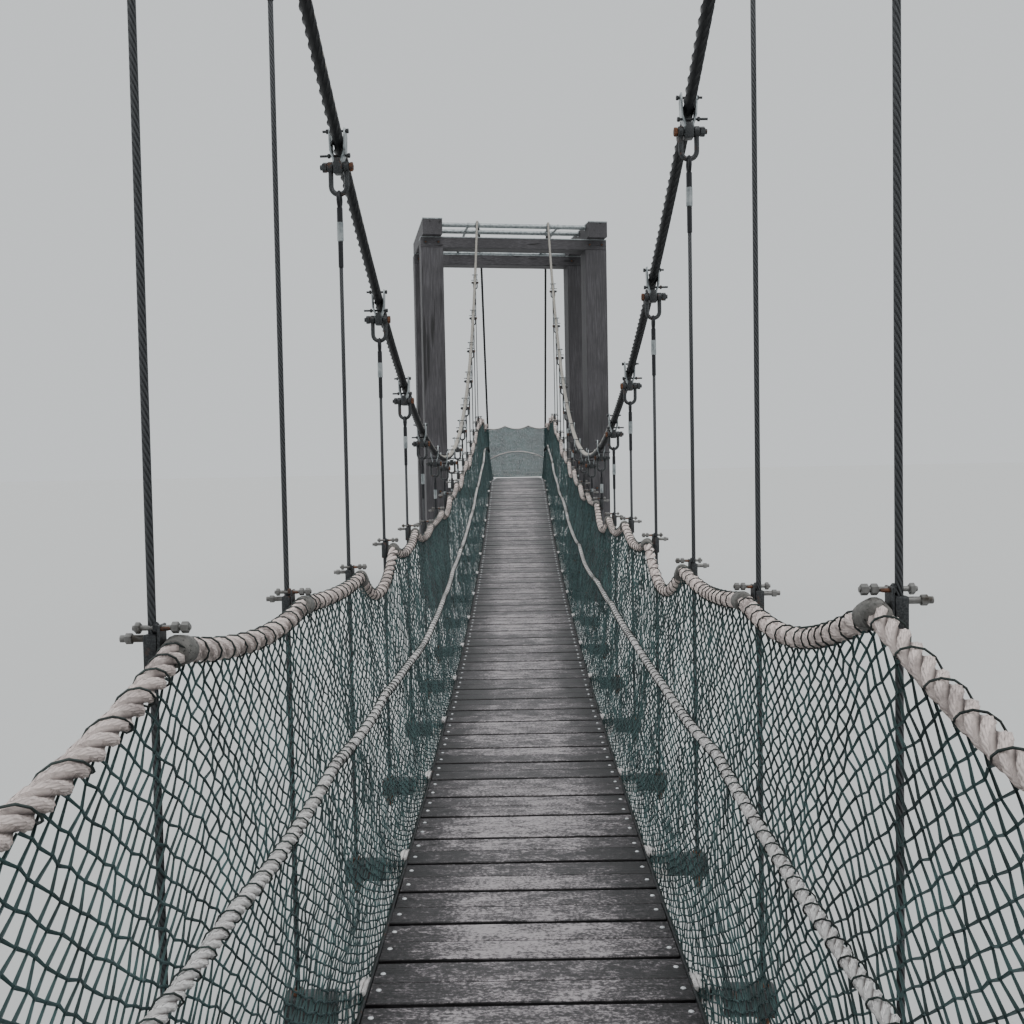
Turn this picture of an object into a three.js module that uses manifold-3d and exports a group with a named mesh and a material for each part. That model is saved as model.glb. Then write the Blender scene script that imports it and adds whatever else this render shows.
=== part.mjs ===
// Rope suspension footbridge: two timber towers, main cables from anchor block to anchor block,
// hanger frames that carry a board deck, and rope and net sides.
// Millimetres, +Z up. The walking line runs along +Y, the ground is z = 0.
// "near" is the -Y end and "far" the +Y end; "left" is the -X side.

import * as THREE from 'three';
import { mergeVertices } from 'three/addons/utils/BufferGeometryUtils.js';
import Module from 'manifold-3d';

const wasm = await Module();
wasm.setup();

// Clearance that touching pieces keep
const seatGap = 0.3;

// Points nearer than this are one point
const weldDistance = 0.001;

// Deck line: a shallow sag that is lowest before the middle and climbs to the far landing
const boardHalfLength = 500;
const boardThickness = 38;
const deckEnd = 10350;
const deckLowHeight = 1200;
const deckLowPlace = -5200;
const deckRadius = 71400;
const deckKnotPitch = 600;
const deckEaseStart = 8400;
const deckLevelFrom = 10200;
const deckSectionEnds = [-deckEnd, -deckEnd / 3, deckEnd / 3, deckEnd];

// Steel angle under and beside the board ends
const angleThickness = 6;
const angleLeg = 60;
const angleStandsProud = 4;

// Hanger frames: one cross-beam and two hangers at each station
const stationPitch = 1200;
const lastStation = 8;
const hangerPlace = 740;
const hangerRadius = 8.5;
const hangerSides = 4;
const sleeveRadius = 16;
const sleeveLength = 85;
const crossBeamHalfLength = 780;
const crossBeamSize = 80;
const hangerTail = 60;

// Main cables: a catenary between the towers, straight stays behind them
const cableRadius = 26;
const cableLowHeight = 2970;
const cableScale = 13830;
const cablePointPitch = 600;
const cableLastPoint = 10800;
const cableTangentPlace = 11450;
const stayAngle = THREE.MathUtils.degToRad(54);
const stayEndHeight = 1100;
const cableSides = 8;
const cableBendSteps = 4;

// Fork that hangs a hanger from the main cable, measured from the cable's centre
const cableFork = { thickness: 10, length: 70, above: 70, slot: 66, below: 125 };
const eyeRadius = 11;
const eyeEnd = 330;

// Hand ropes hang in scallops from a bracket on each hanger; smaller ropes run at half height
const handRopeRadius = 26;
const handRopePlace = 690;
const handRopeHeight = 1190;

// From the near end: how far each support holds a hand rope over its usual height, and each span's sag
const handRopeLifts = {
  left: [0, 0, -150, 36, 10, 0, 38, 36, -30, -30, 0, 20, 0, 30, -20, 0, 25, 0, 0, 0, 0],
  right: [0, 0, -150, 85, 0, 0, 38, 57, 0, 30, 0, -20, 25, 0, 0, 30, -25, 0, 20, 0, 0],
};
const handRopeSags = {
  left: [150, 90, 40, 43, 17, 150, 75, 64, 20, 100, 60, 110, 45, 130, 70, 90, 40, 120, 80, 150],
  right: [150, 70, 45, 80, 30, 160, 66, 72, 150, 30, 80, 50, 120, 60, 140, 50, 100, 40, 90, 150],
};
const midRopeRadius = 18;
const midRopeHeight = 600;
const midRopeSag = 15;

// From the near end: how far each support holds a half-height rope over its usual height
const midRopeLifts = {
  left: [0, 60, 95, 95, 85, 85, 25, 10, 20, 40, 60, 40, 70, 50, 80, 60, 40, 60, 30, 30, 0],
  right: [0, 20, 35, 35, 110, 95, 105, 130, 90, 60, 80, 50, 70, 90, 50, 40, 60, 30, 50, 20, 0],
};
const midRopeClearance = 3.6;
const sideRopeSides = 6;
const pointsPerScallop = 4;
const bracket = { along: 40, below: 55, outer: 755, barFrom: 640, barTo: 793, barLow: 37, barHigh: 51 };

// Side nets
const netThickness = 6;
const netFootPlace = 530;
const netColumn = 300;
const netDropAtSupport = 60;
const netDropBetween = 34;

// Towers: a front and a rear timber frame, side beams over both, and the saddle pipes.
// Both towers stand turned on plan by the same angle, so each main cable lies to one end of the other.
const towerTurn = THREE.MathUtils.degToRad(10);
const cableShift = hangerPlace * Math.tan(towerTurn);
const postSize = 460;
const postPlace = 1730;
const frontFramePlace = 11600;
const rearFramePlace = 13300;
const headBeam = { bottom: 7440, top: 7670, depth: 400 };
const crossBearer = { high: 200, depth: 200 };
const sideBeam = { width: 400, from: 11200, to: 13680, high: 330 };
const pipeRadius = 45;
const pipeSides = 12;
const pipeSocketDepth = 100;
const secondPipePlace = 12100;
const thirdPipe = { place: 13500, height: 7765 };
const pipeStrap = { place: 950, width: 50, thickness: 12 };
const saddleClearance = 2.5;

// Landings
const landingStart = 10360;
const landingEnd = 13400;
const landingBearer = { place: 420, width: 100, high: 150 };
const landingJoist = { drop: 45, high: 100, width: 100 };
const guardPost = { size: 90, height: 1250 };
const guardPostPlaces = [10800, 13200];
const ropeEnd = 13244;

// Net across the far end of the far landing
const endNet = { halfWidth: 800, foot: 20, height: 1180, sag: 70, scallops: 3, ropeRadius: 15 };
const endNetPointsPerScallop = 4;

// Anchor blocks
const anchorBlock = { halfWidth: 1150, from: 18250, to: 19500, high: 750 };
const anchorSocket = { radius: 45, length: 700 };

const timber = new THREE.MeshStandardMaterial({ color: 0x4a423c, roughness: 0.9, metalness: 0 });
const boards = new THREE.MeshStandardMaterial({ color: 0x6b6865, roughness: 0.55, metalness: 0 });
const darkSteel = new THREE.MeshStandardMaterial({ color: 0x35373a, roughness: 0.5, metalness: 0.8 });
const wireRope = new THREE.MeshStandardMaterial({ color: 0x26282a, roughness: 0.6, metalness: 0.7 });
const zincSteel = new THREE.MeshStandardMaterial({ color: 0x9aa0a2, roughness: 0.4, metalness: 0.9 });
const naturalRope = new THREE.MeshStandardMaterial({ color: 0xb4aca0, roughness: 0.95, metalness: 0 });
const netTwine = new THREE.MeshStandardMaterial({ color: 0x24403c, roughness: 0.9, metalness: 0 });
const concrete = new THREE.MeshStandardMaterial({ color: 0x8b8a84, roughness: 0.95, metalness: 0 });

const bridge = new THREE.Group();

function addPiece(name, geometry, material) {
  const piece = new THREE.Mesh(geometry, material);
  piece.name = name;
  bridge.add(piece);
}

// A path whose samples are its own points, so that a bend keeps the points given to it
class PointPath extends THREE.Curve {
  constructor(points) {
    super();
    this.points = points;
  }

  getPoint(share, target = new THREE.Vector3()) {
    const last = this.points.length - 1;
    const index = Math.min(Math.floor(share * last), last - 1);
    return target.lerpVectors(this.points[index], this.points[index + 1], share * last - index);
  }

  getSpacedPoints(divisions) {
    return this.getPoints(divisions);
  }

  getTangentAt(share, target = new THREE.Vector3()) {
    const last = this.points.length - 1;
    const index = Math.round(share * last);
    const here = this.points[index];
    const before = this.points[Math.max(index - 1, 0)];
    const after = this.points[Math.min(index + 1, last)];
    const arriving = here.clone().sub(before).normalize();
    const leaving = after.clone().sub(here).normalize();
    return target.copy(arriving).add(leaving).normalize();
  }

  // Keeps the section upright along the whole path
  computeFrenetFrames(divisions) {
    const tangents = Array.from({ length: divisions + 1 }, (_, index) => this.getTangentAt(index / divisions));
    const normals = tangents.map((tangent) => this.across(tangent));
    const binormals = tangents.map((tangent, index) => tangent.clone().cross(normals[index]));
    return { tangents, normals, binormals };
  }

  across(tangent) {
    return new THREE.Vector3(0, 0, 1).cross(tangent).normalize();
  }
}

function toSolid(geometry) {
  const bare = geometry.clone();
  bare.deleteAttribute('normal');
  bare.deleteAttribute('uv');
  const merged = mergeVertices(bare, weldDistance);
  return new wasm.Manifold(new wasm.Mesh({
    numProp: 3,
    vertProperties: new Float32Array(merged.attributes.position.array),
    triVerts: new Uint32Array(merged.index.array),
  }));
}

function toGeometry(solid) {
  const mesh = solid.getMesh();
  const geometry = new THREE.BufferGeometry();
  geometry.setAttribute('position', new THREE.BufferAttribute(mesh.vertProperties, 3));
  geometry.setIndex(new THREE.BufferAttribute(mesh.triVerts, 1));
  geometry.computeVertexNormals();
  return geometry;
}

function join(geometries) {
  return toGeometry(wasm.Manifold.union(geometries.map(toSolid)));
}

function cutFrom(geometry, cutters) {
  return toGeometry(wasm.Manifold.difference([geometry, ...cutters].map(toSolid)));
}

// A box between two places on each axis, in either order
function block(xs, ys, zs) {
  const size = [xs, ys, zs].map(([from, to]) => Math.abs(to - from));
  const middle = [xs, ys, zs].map(([from, to]) => (from + to) / 2);
  const geometry = new THREE.BoxGeometry(...size);
  geometry.translate(...middle);
  return geometry;
}

// An outline across the bridge, as [x, z] corners, drawn out along it about a place
function crossSlice(corners, y, length) {
  const outline = new THREE.Shape(corners.map(([x, z]) => new THREE.Vector2(x, z)));
  const slice = new THREE.ExtrudeGeometry(outline, { depth: length, bevelEnabled: false });
  slice.applyMatrix4(new THREE.Matrix4().makeBasis(
    new THREE.Vector3(1, 0, 0),
    new THREE.Vector3(0, 0, 1),
    new THREE.Vector3(0, -1, 0),
  ));
  slice.translate(0, y + length / 2, 0);
  return slice;
}

// A round section whose flats face across the bridge, drawn along the given points
function ropeAlong(points, radius, sides) {
  const corner = radius / Math.cos(Math.PI / sides);
  const section = new THREE.Shape(Array.from({ length: sides }, (_, index) => {
    const angle = ((index + 0.5) * 2 * Math.PI) / sides;
    return new THREE.Vector2(corner * Math.cos(angle), corner * Math.sin(angle));
  }));
  return new THREE.ExtrudeGeometry(section, {
    steps: points.length - 1,
    extrudePath: new PointPath(points),
    bevelEnabled: false,
  });
}

function deckCurve(y) {
  const onSag = THREE.MathUtils.clamp(y, -deckLevelFrom, deckEaseStart);
  const rise = (onSag - deckLowPlace) ** 2 / (2 * deckRadius);
  const easeLength = deckLevelFrom - deckEaseStart;
  const eased = THREE.MathUtils.clamp(y - deckEaseStart, 0, easeLength);
  const slope = (deckEaseStart - deckLowPlace) / deckRadius;
  return deckLowHeight + rise + slope * (eased - eased ** 2 / (2 * easeLength));
}

// Top of the boards, straight between knots
function deckTop(y) {
  const knot = Math.floor(y / deckKnotPitch) * deckKnotPitch;
  const share = (y - knot) / deckKnotPitch;
  return THREE.MathUtils.lerp(deckCurve(knot), deckCurve(knot + deckKnotPitch), share);
}

function cableCurve(y) {
  return cableLowHeight + cableScale * (Math.cosh(y / cableScale) - 1);
}

// Height of the main cable on one side at a place along the bridge
function cableHeight(side, y) {
  return cableCurve(y - side * cableShift);
}

function sideName(side) {
  return side < 0 ? 'left' : 'right';
}

const stationPlaces = Array.from(
  { length: 2 * lastStation + 1 },
  (_, index) => (index - lastStation) * stationPitch,
);
const supportPlaces = [
  ...guardPostPlaces.map((place) => -place).reverse(),
  ...stationPlaces,
  ...guardPostPlaces,
];

// The span that a place lies in, and the share of the way along it
function spanAt(y) {
  const last = supportPlaces.length - 1;
  const place = THREE.MathUtils.clamp(y, supportPlaces[0], supportPlaces[last]);
  const index = Math.max(supportPlaces.findIndex((support) => support >= place) - 1, 0);
  const from = supportPlaces[index];
  return { index, share: (place - from) / (supportPlaces[index + 1] - from) };
}

function scallopDrop(share, sag) {
  return 4 * sag * share * (1 - share);
}

// How far the supports around a place hold a rope over its usual height there
function liftAt(lifts, y) {
  const { index, share } = spanAt(y);
  return THREE.MathUtils.lerp(lifts[index], lifts[index + 1], share);
}

function handRopeLine(side, y) {
  const { index, share } = spanAt(y);
  const drop = scallopDrop(share, handRopeSags[sideName(side)][index]);
  return deckTop(y) + handRopeHeight + liftAt(handRopeLifts[sideName(side)], y) - drop;
}

function midRopeLine(side, y) {
  const lift = liftAt(midRopeLifts[sideName(side)], y);
  return deckTop(y) + midRopeHeight + lift - scallopDrop(spanAt(y).share, midRopeSag);
}

// Heights under the board tops of the pieces that the deck rests on
const angleTop = -boardThickness - seatGap;
const angleBottom = angleTop - angleThickness;
const crossBeamTop = angleBottom - seatGap;
const netFootOffset = crossBeamTop + seatGap;

function netTop(side, y) {
  const toSupport = Math.min(...supportPlaces.map((place) => Math.abs(place - y)), netColumn);
  const drop = THREE.MathUtils.mapLinear(toSupport, 0, netColumn, netDropAtSupport, netDropBetween);
  return handRopeLine(side, y) - drop;
}

// A strip that follows the deck line between two offsets from the board tops
function deckStrip(fromY, toY, xs, lowOffset, highOffset) {
  const places = [fromY];
  for (let knot = Math.floor(fromY / deckKnotPitch + 1) * deckKnotPitch; knot < toY; knot += deckKnotPitch) {
    places.push(knot);
  }
  places.push(toY);
  const outline = [
    ...places.map((y) => new THREE.Vector2(y, deckTop(y) + lowOffset)),
    ...places.toReversed().map((y) => new THREE.Vector2(y, deckTop(y) + highOffset)),
  ];
  const strip = new THREE.ExtrudeGeometry(new THREE.Shape(outline), {
    depth: Math.abs(xs[1] - xs[0]),
    bevelEnabled: false,
  });
  const outlineToSide = new THREE.Matrix4().makeBasis(
    new THREE.Vector3(0, 1, 0),
    new THREE.Vector3(0, 0, 1),
    new THREE.Vector3(1, 0, 0),
  );
  strip.applyMatrix4(outlineToSide);
  strip.translate(Math.min(...xs), 0, 0);
  return strip;
}

// Deck boards in three lengths, each laid on the two edge angles
function deckBoards(index) {
  const from = deckSectionEnds[index] + seatGap / 2;
  const to = deckSectionEnds[index + 1] - seatGap / 2;
  return deckStrip(from, to, [-boardHalfLength, boardHalfLength], -boardThickness, 0);
}

function edgeAngle(side) {
  const inner = boardHalfLength + seatGap;
  const outer = inner + angleThickness;
  return join([
    deckStrip(-deckEnd, deckEnd, [side * (outer - angleLeg), side * outer], angleBottom, angleTop),
    deckStrip(-deckEnd, deckEnd, [side * inner, side * outer], angleBottom, angleStandsProud),
  ]);
}

// The fork sits over the main cable from below, its two cheeks beside it
function cableForkAt(side, y) {
  const x = side * hangerPlace;
  const z = cableHeight(side, y);
  const inner = cableRadius + seatGap;
  const outer = inner + cableFork.thickness;
  return crossSlice([
    [x - outer, z - cableFork.below],
    [x + outer, z - cableFork.below],
    [x + outer, z + cableFork.above],
    [x + inner, z + cableFork.above],
    [x + inner, z - cableFork.slot],
    [x - inner, z - cableFork.slot],
    [x - inner, z + cableFork.above],
    [x - outer, z + cableFork.above],
  ], y, cableFork.length);
}

// The hanger from below the cross-beam to its fork: rod, pressed sleeve and eye
function hangerRod(side, y, footZ) {
  const cableZ = cableHeight(side, y);
  const eyeZ = cableZ - eyeEnd;
  const topZ = cableZ - (cableFork.below + cableFork.slot) / 2;
  const corner = 1 / Math.cos(Math.PI / hangerSides);
  const profile = [
    [0, footZ],
    [hangerRadius, footZ],
    [hangerRadius, eyeZ - sleeveLength],
    [sleeveRadius, eyeZ - sleeveLength],
    [sleeveRadius, eyeZ],
    [eyeRadius, eyeZ],
    [eyeRadius, topZ],
    [0, topZ],
  ];
  const rod = new THREE.LatheGeometry(
    profile.map(([radius, z]) => new THREE.Vector2(radius * corner, z)),
    hangerSides,
  );
  rod.rotateY(Math.PI / hangerSides);
  rod.rotateX(Math.PI / 2);
  rod.translate(side * hangerPlace, y, 0);
  return rod;
}

// The bracket lies against the hand rope, clasps the hanger and reaches over the rope
function ropeBracket(side, y) {
  const z = handRopeLine(side, y);
  const inner = handRopePlace + handRopeRadius + seatGap;
  return crossSlice([
    [side * inner, z - bracket.below],
    [side * bracket.outer, z - bracket.below],
    [side * bracket.outer, z + bracket.barLow],
    [side * bracket.barTo, z + bracket.barLow],
    [side * bracket.barTo, z + bracket.barHigh],
    [side * bracket.barFrom, z + bracket.barHigh],
    [side * bracket.barFrom, z + bracket.barLow],
    [side * inner, z + bracket.barLow],
  ], y, bracket.along);
}

function hangerFrame(y) {
  const rise = deckTop(y + deckKnotPitch) - deckTop(y - deckKnotPitch);
  const crown = Math.max(deckTop(y) - (deckTop(y - deckKnotPitch) + deckTop(y + deckKnotPitch)) / 2, 0);
  const top = deckTop(y) + crossBeamTop - (crown * crossBeamSize) / 2 / deckKnotPitch;
  const beam = block(
    [-crossBeamHalfLength, crossBeamHalfLength],
    [-crossBeamSize / 2, crossBeamSize / 2],
    [-crossBeamSize, 0],
  );
  beam.rotateX(Math.atan2(rise, 2 * deckKnotPitch));
  beam.translate(0, y, top);
  const pieces = [beam];
  for (const side of [-1, 1]) {
    pieces.push(hangerRod(side, y, top - crossBeamSize - hangerTail));
    pieces.push(cableForkAt(side, y));
    pieces.push(ropeBracket(side, y));
  }
  return join(pieces);
}

// Places on a bend round a saddle pipe, from one direction of travel to another
function bendOver(pipe, fromAngle, toAngle, steps) {
  const radius = pipeRadius + cableRadius + saddleClearance;
  return Array.from({ length: steps + 1 }, (_, index) => {
    const angle = THREE.MathUtils.lerp(fromAngle, toAngle, index / steps);
    return [pipe.place - radius * Math.sin(angle), pipe.height + radius * Math.cos(angle)];
  });
}

// The saddle pipes where a main cable crosses them; the first lies where the catenary runs onto it
function saddlePipes() {
  const bend = pipeRadius + cableRadius + saddleClearance;
  const climb = Math.atan(Math.sinh(cableTangentPlace / cableScale));
  const first = {
    place: cableTangentPlace + bend * Math.sin(climb),
    height: cableCurve(cableTangentPlace) - bend * Math.cos(climb),
  };
  const second = { place: secondPipePlace, height: first.height };
  return { climb, first, second, third: thirdPipe };
}

// Half of a main cable, from its lowest point to its anchor block, as [y, z] places from that point
function cableHalf() {
  const { climb, first, second, third } = saddlePipes();
  const dip = Math.atan2(third.height - second.height, third.place - second.place);
  const places = [];
  for (let y = 0; y <= cableLastPoint; y += cablePointPitch) {
    places.push([y, cableCurve(y)]);
  }
  places.push(...bendOver(first, climb, 0, cableBendSteps));
  places.push(...bendOver(second, 0, dip, 1));
  places.push(...bendOver(third, dip, -stayAngle, cableBendSteps));
  const [stayY, stayZ] = places.at(-1);
  places.push([stayY + (stayZ - stayEndHeight) / Math.tan(stayAngle), stayEndHeight]);
  return places;
}

function mainCable(side) {
  const half = cableHalf();
  const places = [
    ...half.slice(1).reverse().map(([y, z]) => [-y, z]),
    ...half,
  ];
  const points = places.map(([y, z]) => new THREE.Vector3(side * hangerPlace, y + side * cableShift, z));
  return ropeAlong(points, cableRadius, cableSides);
}

// The points of every scallop, from one rear guard post to the other
function ropePlaces() {
  const places = [-ropeEnd];
  for (let index = 0; index < supportPlaces.length - 1; index += 1) {
    for (let point = 0; point < pointsPerScallop; point += 1) {
      const share = point / pointsPerScallop;
      places.push(THREE.MathUtils.lerp(supportPlaces[index], supportPlaces[index + 1], share));
    }
  }
  places.push(supportPlaces.at(-1), ropeEnd);
  return places;
}

function handRope(side) {
  const points = ropePlaces().map((y) => new THREE.Vector3(side * handRopePlace, y, handRopeLine(side, y)));
  return ropeAlong(points, handRopeRadius, sideRopeSides);
}

// How far out the half-height rope lies, against the inner face of the net
function midRopePlace(side, y) {
  const foot = deckTop(y) + netFootOffset;
  const flare = (handRopePlace - netFootPlace) / (netTop(side, y) - foot);
  const lean = Math.atan(flare);
  const face = netFootPlace + flare * (midRopeLine(side, y) - foot) - netThickness / 2;
  const corner = midRopeRadius * Math.tan(Math.PI / sideRopeSides);
  const reach = midRopeRadius * Math.cos(lean) + corner * Math.sin(lean);
  return face - (reach + midRopeClearance) / Math.cos(lean);
}

function midRope(side) {
  const points = ropePlaces().map(
    (y) => new THREE.Vector3(side * midRopePlace(side, y), y, midRopeLine(side, y)),
  );
  return ropeAlong(points, midRopeRadius, sideRopeSides);
}

// A thin sheet from the cross-beams to the hand rope, leaning outwards
function sideNet(side, fromY, toY) {
  const columns = Math.round((toY - fromY) / netColumn);
  const net = new THREE.BoxGeometry(netThickness, toY - fromY, 1, 1, columns, 1);
  net.translate(0, (fromY + toY) / 2, 0.5);
  const spots = net.attributes.position;
  for (let index = 0; index < spots.count; index += 1) {
    const y = spots.getY(index);
    const share = spots.getZ(index);
    const foot = deckTop(y) + netFootOffset;
    const lean = netFootPlace + (handRopePlace - netFootPlace) * share;
    spots.setX(index, spots.getX(index) + side * lean);
    spots.setZ(index, foot + (netTop(side, y) - foot) * share);
  }
  return toGeometry(toSolid(net));
}

// Turns a piece of a tower, made square to the bridge, with the tower's front frame
function turnOnPlan(geometry, end) {
  geometry.translate(0, -end * frontFramePlace, 0);
  geometry.rotateZ(towerTurn);
  geometry.translate(0, end * frontFramePlace, 0);
  return geometry;
}

// Two posts, the head beam on them and the bearer that carries the landing
function towerFrame(end, place, landingTop) {
  const ys = [end * (place - postSize / 2), end * (place + postSize / 2)];
  const headYs = [end * (place - headBeam.depth / 2), end * (place + headBeam.depth / 2)];
  const bearerYs = [end * (place - crossBearer.depth / 2), end * (place + crossBearer.depth / 2)];
  const bearerTop = landingTop - boardThickness - landingBearer.high - seatGap;
  const outer = postPlace + postSize / 2;
  const inner = postPlace - postSize / 2;
  return turnOnPlan(join([
    block([-outer, -inner], ys, [0, headBeam.bottom]),
    block([inner, outer], ys, [0, headBeam.bottom]),
    block([-outer, outer], headYs, [headBeam.bottom, headBeam.top]),
    block([-postPlace, postPlace], bearerYs, [bearerTop - crossBearer.high, bearerTop]),
  ]), end);
}

// The saddle pipes in the tower's own line, before it is turned
function pipesInTower() {
  const { first, second, third } = saddlePipes();
  return [first, second, third].map(({ place, height }) => ({
    place: frontFramePlace + (place - frontFramePlace) * Math.cos(towerTurn),
    height,
  }));
}

function crossPipe(end, pipe, radius, halfLength) {
  const tube = new THREE.CylinderGeometry(radius, radius, 2 * halfLength, pipeSides, 1);
  tube.rotateZ(Math.PI / 2);
  tube.translate(0, end * pipe.place, pipe.height);
  return tube;
}

function pipeHalfLength() {
  return postPlace - sideBeam.width / 2 + pipeSocketDepth;
}

// A flat strap between two saddle pipes
function strapBetween(end, side, from, to) {
  const length = Math.hypot(to.place - from.place, to.height - from.height);
  const strap = new THREE.BoxGeometry(pipeStrap.width, length, pipeStrap.thickness);
  strap.rotateX(end * Math.atan2(to.height - from.height, to.place - from.place));
  strap.translate(side * pipeStrap.place, end * (from.place + to.place) / 2, (from.height + to.height) / 2);
  return strap;
}

function towerSaddle(end) {
  const [first, second, third] = pipesInTower();
  const pieces = [first, second, third].map((pipe) => crossPipe(end, pipe, pipeRadius, pipeHalfLength()));
  for (const side of [-1, 1]) {
    pieces.push(strapBetween(end, side, first, second));
    pieces.push(strapBetween(end, side, second, third));
  }
  return turnOnPlan(join(pieces), end);
}

// A timber laid over both frames, bored for the ends of the saddle pipes
function towerSideBeam(end, side) {
  const bottom = headBeam.top + seatGap;
  const beam = block(
    [side * (postPlace - sideBeam.width / 2), side * (postPlace + sideBeam.width / 2)],
    [end * sideBeam.from, end * sideBeam.to],
    [bottom, bottom + sideBeam.high],
  );
  const boreRadius = (pipeRadius + seatGap) / Math.cos(Math.PI / pipeSides);
  const bores = pipesInTower().map((pipe) => crossPipe(end, pipe, boreRadius, pipeHalfLength() + seatGap));
  return turnOnPlan(cutFrom(beam, bores), end);
}

// Boards on two bearers, with joists that carry the guard posts
function landing(end, top) {
  const under = top - boardThickness;
  const pieces = [
    block([-boardHalfLength, boardHalfLength], [end * landingStart, end * landingEnd], [under, top]),
  ];
  for (const side of [-1, 1]) {
    const inner = side * (landingBearer.place - landingBearer.width / 2);
    const outer = side * (landingBearer.place + landingBearer.width / 2);
    pieces.push(block([inner, outer], [end * landingStart, end * landingEnd], [under - landingBearer.high, under]));
  }
  const postInner = handRopePlace + handRopeRadius + seatGap;
  const postOuter = postInner + guardPost.size;
  const joistTop = top - landingJoist.drop;
  for (const place of guardPostPlaces) {
    pieces.push(block(
      [-postOuter, postOuter],
      [end * place - landingJoist.width / 2, end * place + landingJoist.width / 2],
      [joistTop - landingJoist.high, joistTop],
    ));
    for (const side of [-1, 1]) {
      pieces.push(block(
        [side * postInner, side * postOuter],
        [end * place - guardPost.size / 2, end * place + guardPost.size / 2],
        [joistTop - landingJoist.high, top + guardPost.height],
      ));
    }
  }
  return join(pieces);
}

// Net on the rear guard posts, its head rope hanging in three scallops
function farEndNet(top) {
  const rearFace = guardPostPlaces.at(-1) + guardPost.size / 2;
  const y = rearFace + seatGap + endNet.ropeRadius;
  const columns = endNet.scallops * endNetPointsPerScallop;
  const headAt = (x) => {
    const place = ((x + endNet.halfWidth) / (2 * endNet.halfWidth)) * endNet.scallops;
    const share = place - Math.floor(place);
    return top + endNet.height - 4 * endNet.sag * share * (1 - share);
  };
  const sheet = new THREE.BoxGeometry(2 * endNet.halfWidth, netThickness, 1, columns, 1, 1);
  sheet.translate(0, y, 0.5);
  const spots = sheet.attributes.position;
  for (let index = 0; index < spots.count; index += 1) {
    const foot = top + endNet.foot;
    spots.setZ(index, foot + (headAt(spots.getX(index)) - foot) * spots.getZ(index));
  }
  const ropePoints = Array.from({ length: columns + 1 }, (_, index) => {
    const x = THREE.MathUtils.lerp(-endNet.halfWidth, endNet.halfWidth, index / columns);
    return new THREE.Vector3(x, y, headAt(x));
  });
  return join([sheet, ropeAlong(ropePoints, endNet.ropeRadius, sideRopeSides)]);
}

// A concrete block with a steel socket for each main cable
function anchor(end) {
  const [endY, endZ] = cableHalf().at(-1);
  const pieces = [
    block(
      [-anchorBlock.halfWidth, anchorBlock.halfWidth],
      [end * anchorBlock.from, end * anchorBlock.to],
      [0, anchorBlock.high],
    ),
  ];
  for (const side of [-1, 1]) {
    const { radius, length } = anchorSocket;
    const socket = new THREE.CylinderGeometry(radius, radius, length, pipeSides, 1);
    socket.translate(0, length / 2 + seatGap, 0);
    socket.rotateX(end > 0 ? -stayAngle : Math.PI + stayAngle);
    socket.translate(side * hangerPlace, end * endY + side * cableShift, endZ);
    pieces.push(socket);
  }
  return join(pieces);
}

stationPlaces.forEach((place, index) => {
  addPiece(`hanger_frame_${String(index + 1).padStart(2, '0')}`, hangerFrame(place), darkSteel);
});

['near', 'middle', 'far'].forEach((name, index) => {
  addPiece(`deck_boards_${name}`, deckBoards(index), boards);
});

for (const [name, side] of [['left', -1], ['right', 1]]) {
  addPiece(`main_cable_${name}`, mainCable(side), wireRope);
  addPiece(`hand_rope_${name}`, handRope(side), naturalRope);
  addPiece(`mid_rope_${name}`, midRope(side), naturalRope);
  addPiece(`edge_angle_${name}`, edgeAngle(side), darkSteel);
  addPiece(`side_net_${name}_near`, sideNet(side, -guardPostPlaces.at(-1), -seatGap / 2), netTwine);
  addPiece(`side_net_${name}_far`, sideNet(side, seatGap / 2, guardPostPlaces.at(-1)), netTwine);
}

for (const [name, end] of [['near', -1], ['far', 1]]) {
  const landingTop = deckTop(end * landingStart);
  addPiece(`landing_${name}`, landing(end, landingTop), timber);
  addPiece(`tower_${name}_front_frame`, towerFrame(end, frontFramePlace, landingTop), timber);
  addPiece(`tower_${name}_rear_frame`, towerFrame(end, rearFramePlace, landingTop), timber);
  addPiece(`tower_${name}_side_beam_left`, towerSideBeam(end, -1), timber);
  addPiece(`tower_${name}_side_beam_right`, towerSideBeam(end, 1), timber);
  addPiece(`tower_${name}_saddle`, towerSaddle(end), zincSteel);
  addPiece(`anchor_block_${name}`, anchor(end), concrete);
}

addPiece('end_net_far', farEndNet(deckTop(landingStart)), netTwine);

export default bridge;
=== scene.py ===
import math
import random
import bpy
import numpy as np
from mathutils import Matrix, Vector


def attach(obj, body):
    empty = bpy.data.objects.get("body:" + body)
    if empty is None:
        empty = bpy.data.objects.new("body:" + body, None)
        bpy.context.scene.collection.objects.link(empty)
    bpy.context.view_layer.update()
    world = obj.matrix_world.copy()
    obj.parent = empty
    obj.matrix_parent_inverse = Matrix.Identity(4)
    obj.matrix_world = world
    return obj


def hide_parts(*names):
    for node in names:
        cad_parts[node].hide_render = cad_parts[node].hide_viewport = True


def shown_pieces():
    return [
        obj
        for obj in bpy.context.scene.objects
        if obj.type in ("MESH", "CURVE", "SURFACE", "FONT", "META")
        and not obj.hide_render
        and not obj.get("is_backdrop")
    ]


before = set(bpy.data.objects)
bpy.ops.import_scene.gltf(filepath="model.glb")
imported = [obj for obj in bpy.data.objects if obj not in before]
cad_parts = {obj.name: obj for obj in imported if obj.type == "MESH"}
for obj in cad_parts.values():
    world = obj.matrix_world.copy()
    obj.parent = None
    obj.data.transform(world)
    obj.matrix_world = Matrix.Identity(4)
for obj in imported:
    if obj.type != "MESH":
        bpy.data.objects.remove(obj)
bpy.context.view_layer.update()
dice = random.Random(11)
print("frame loaded")


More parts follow.
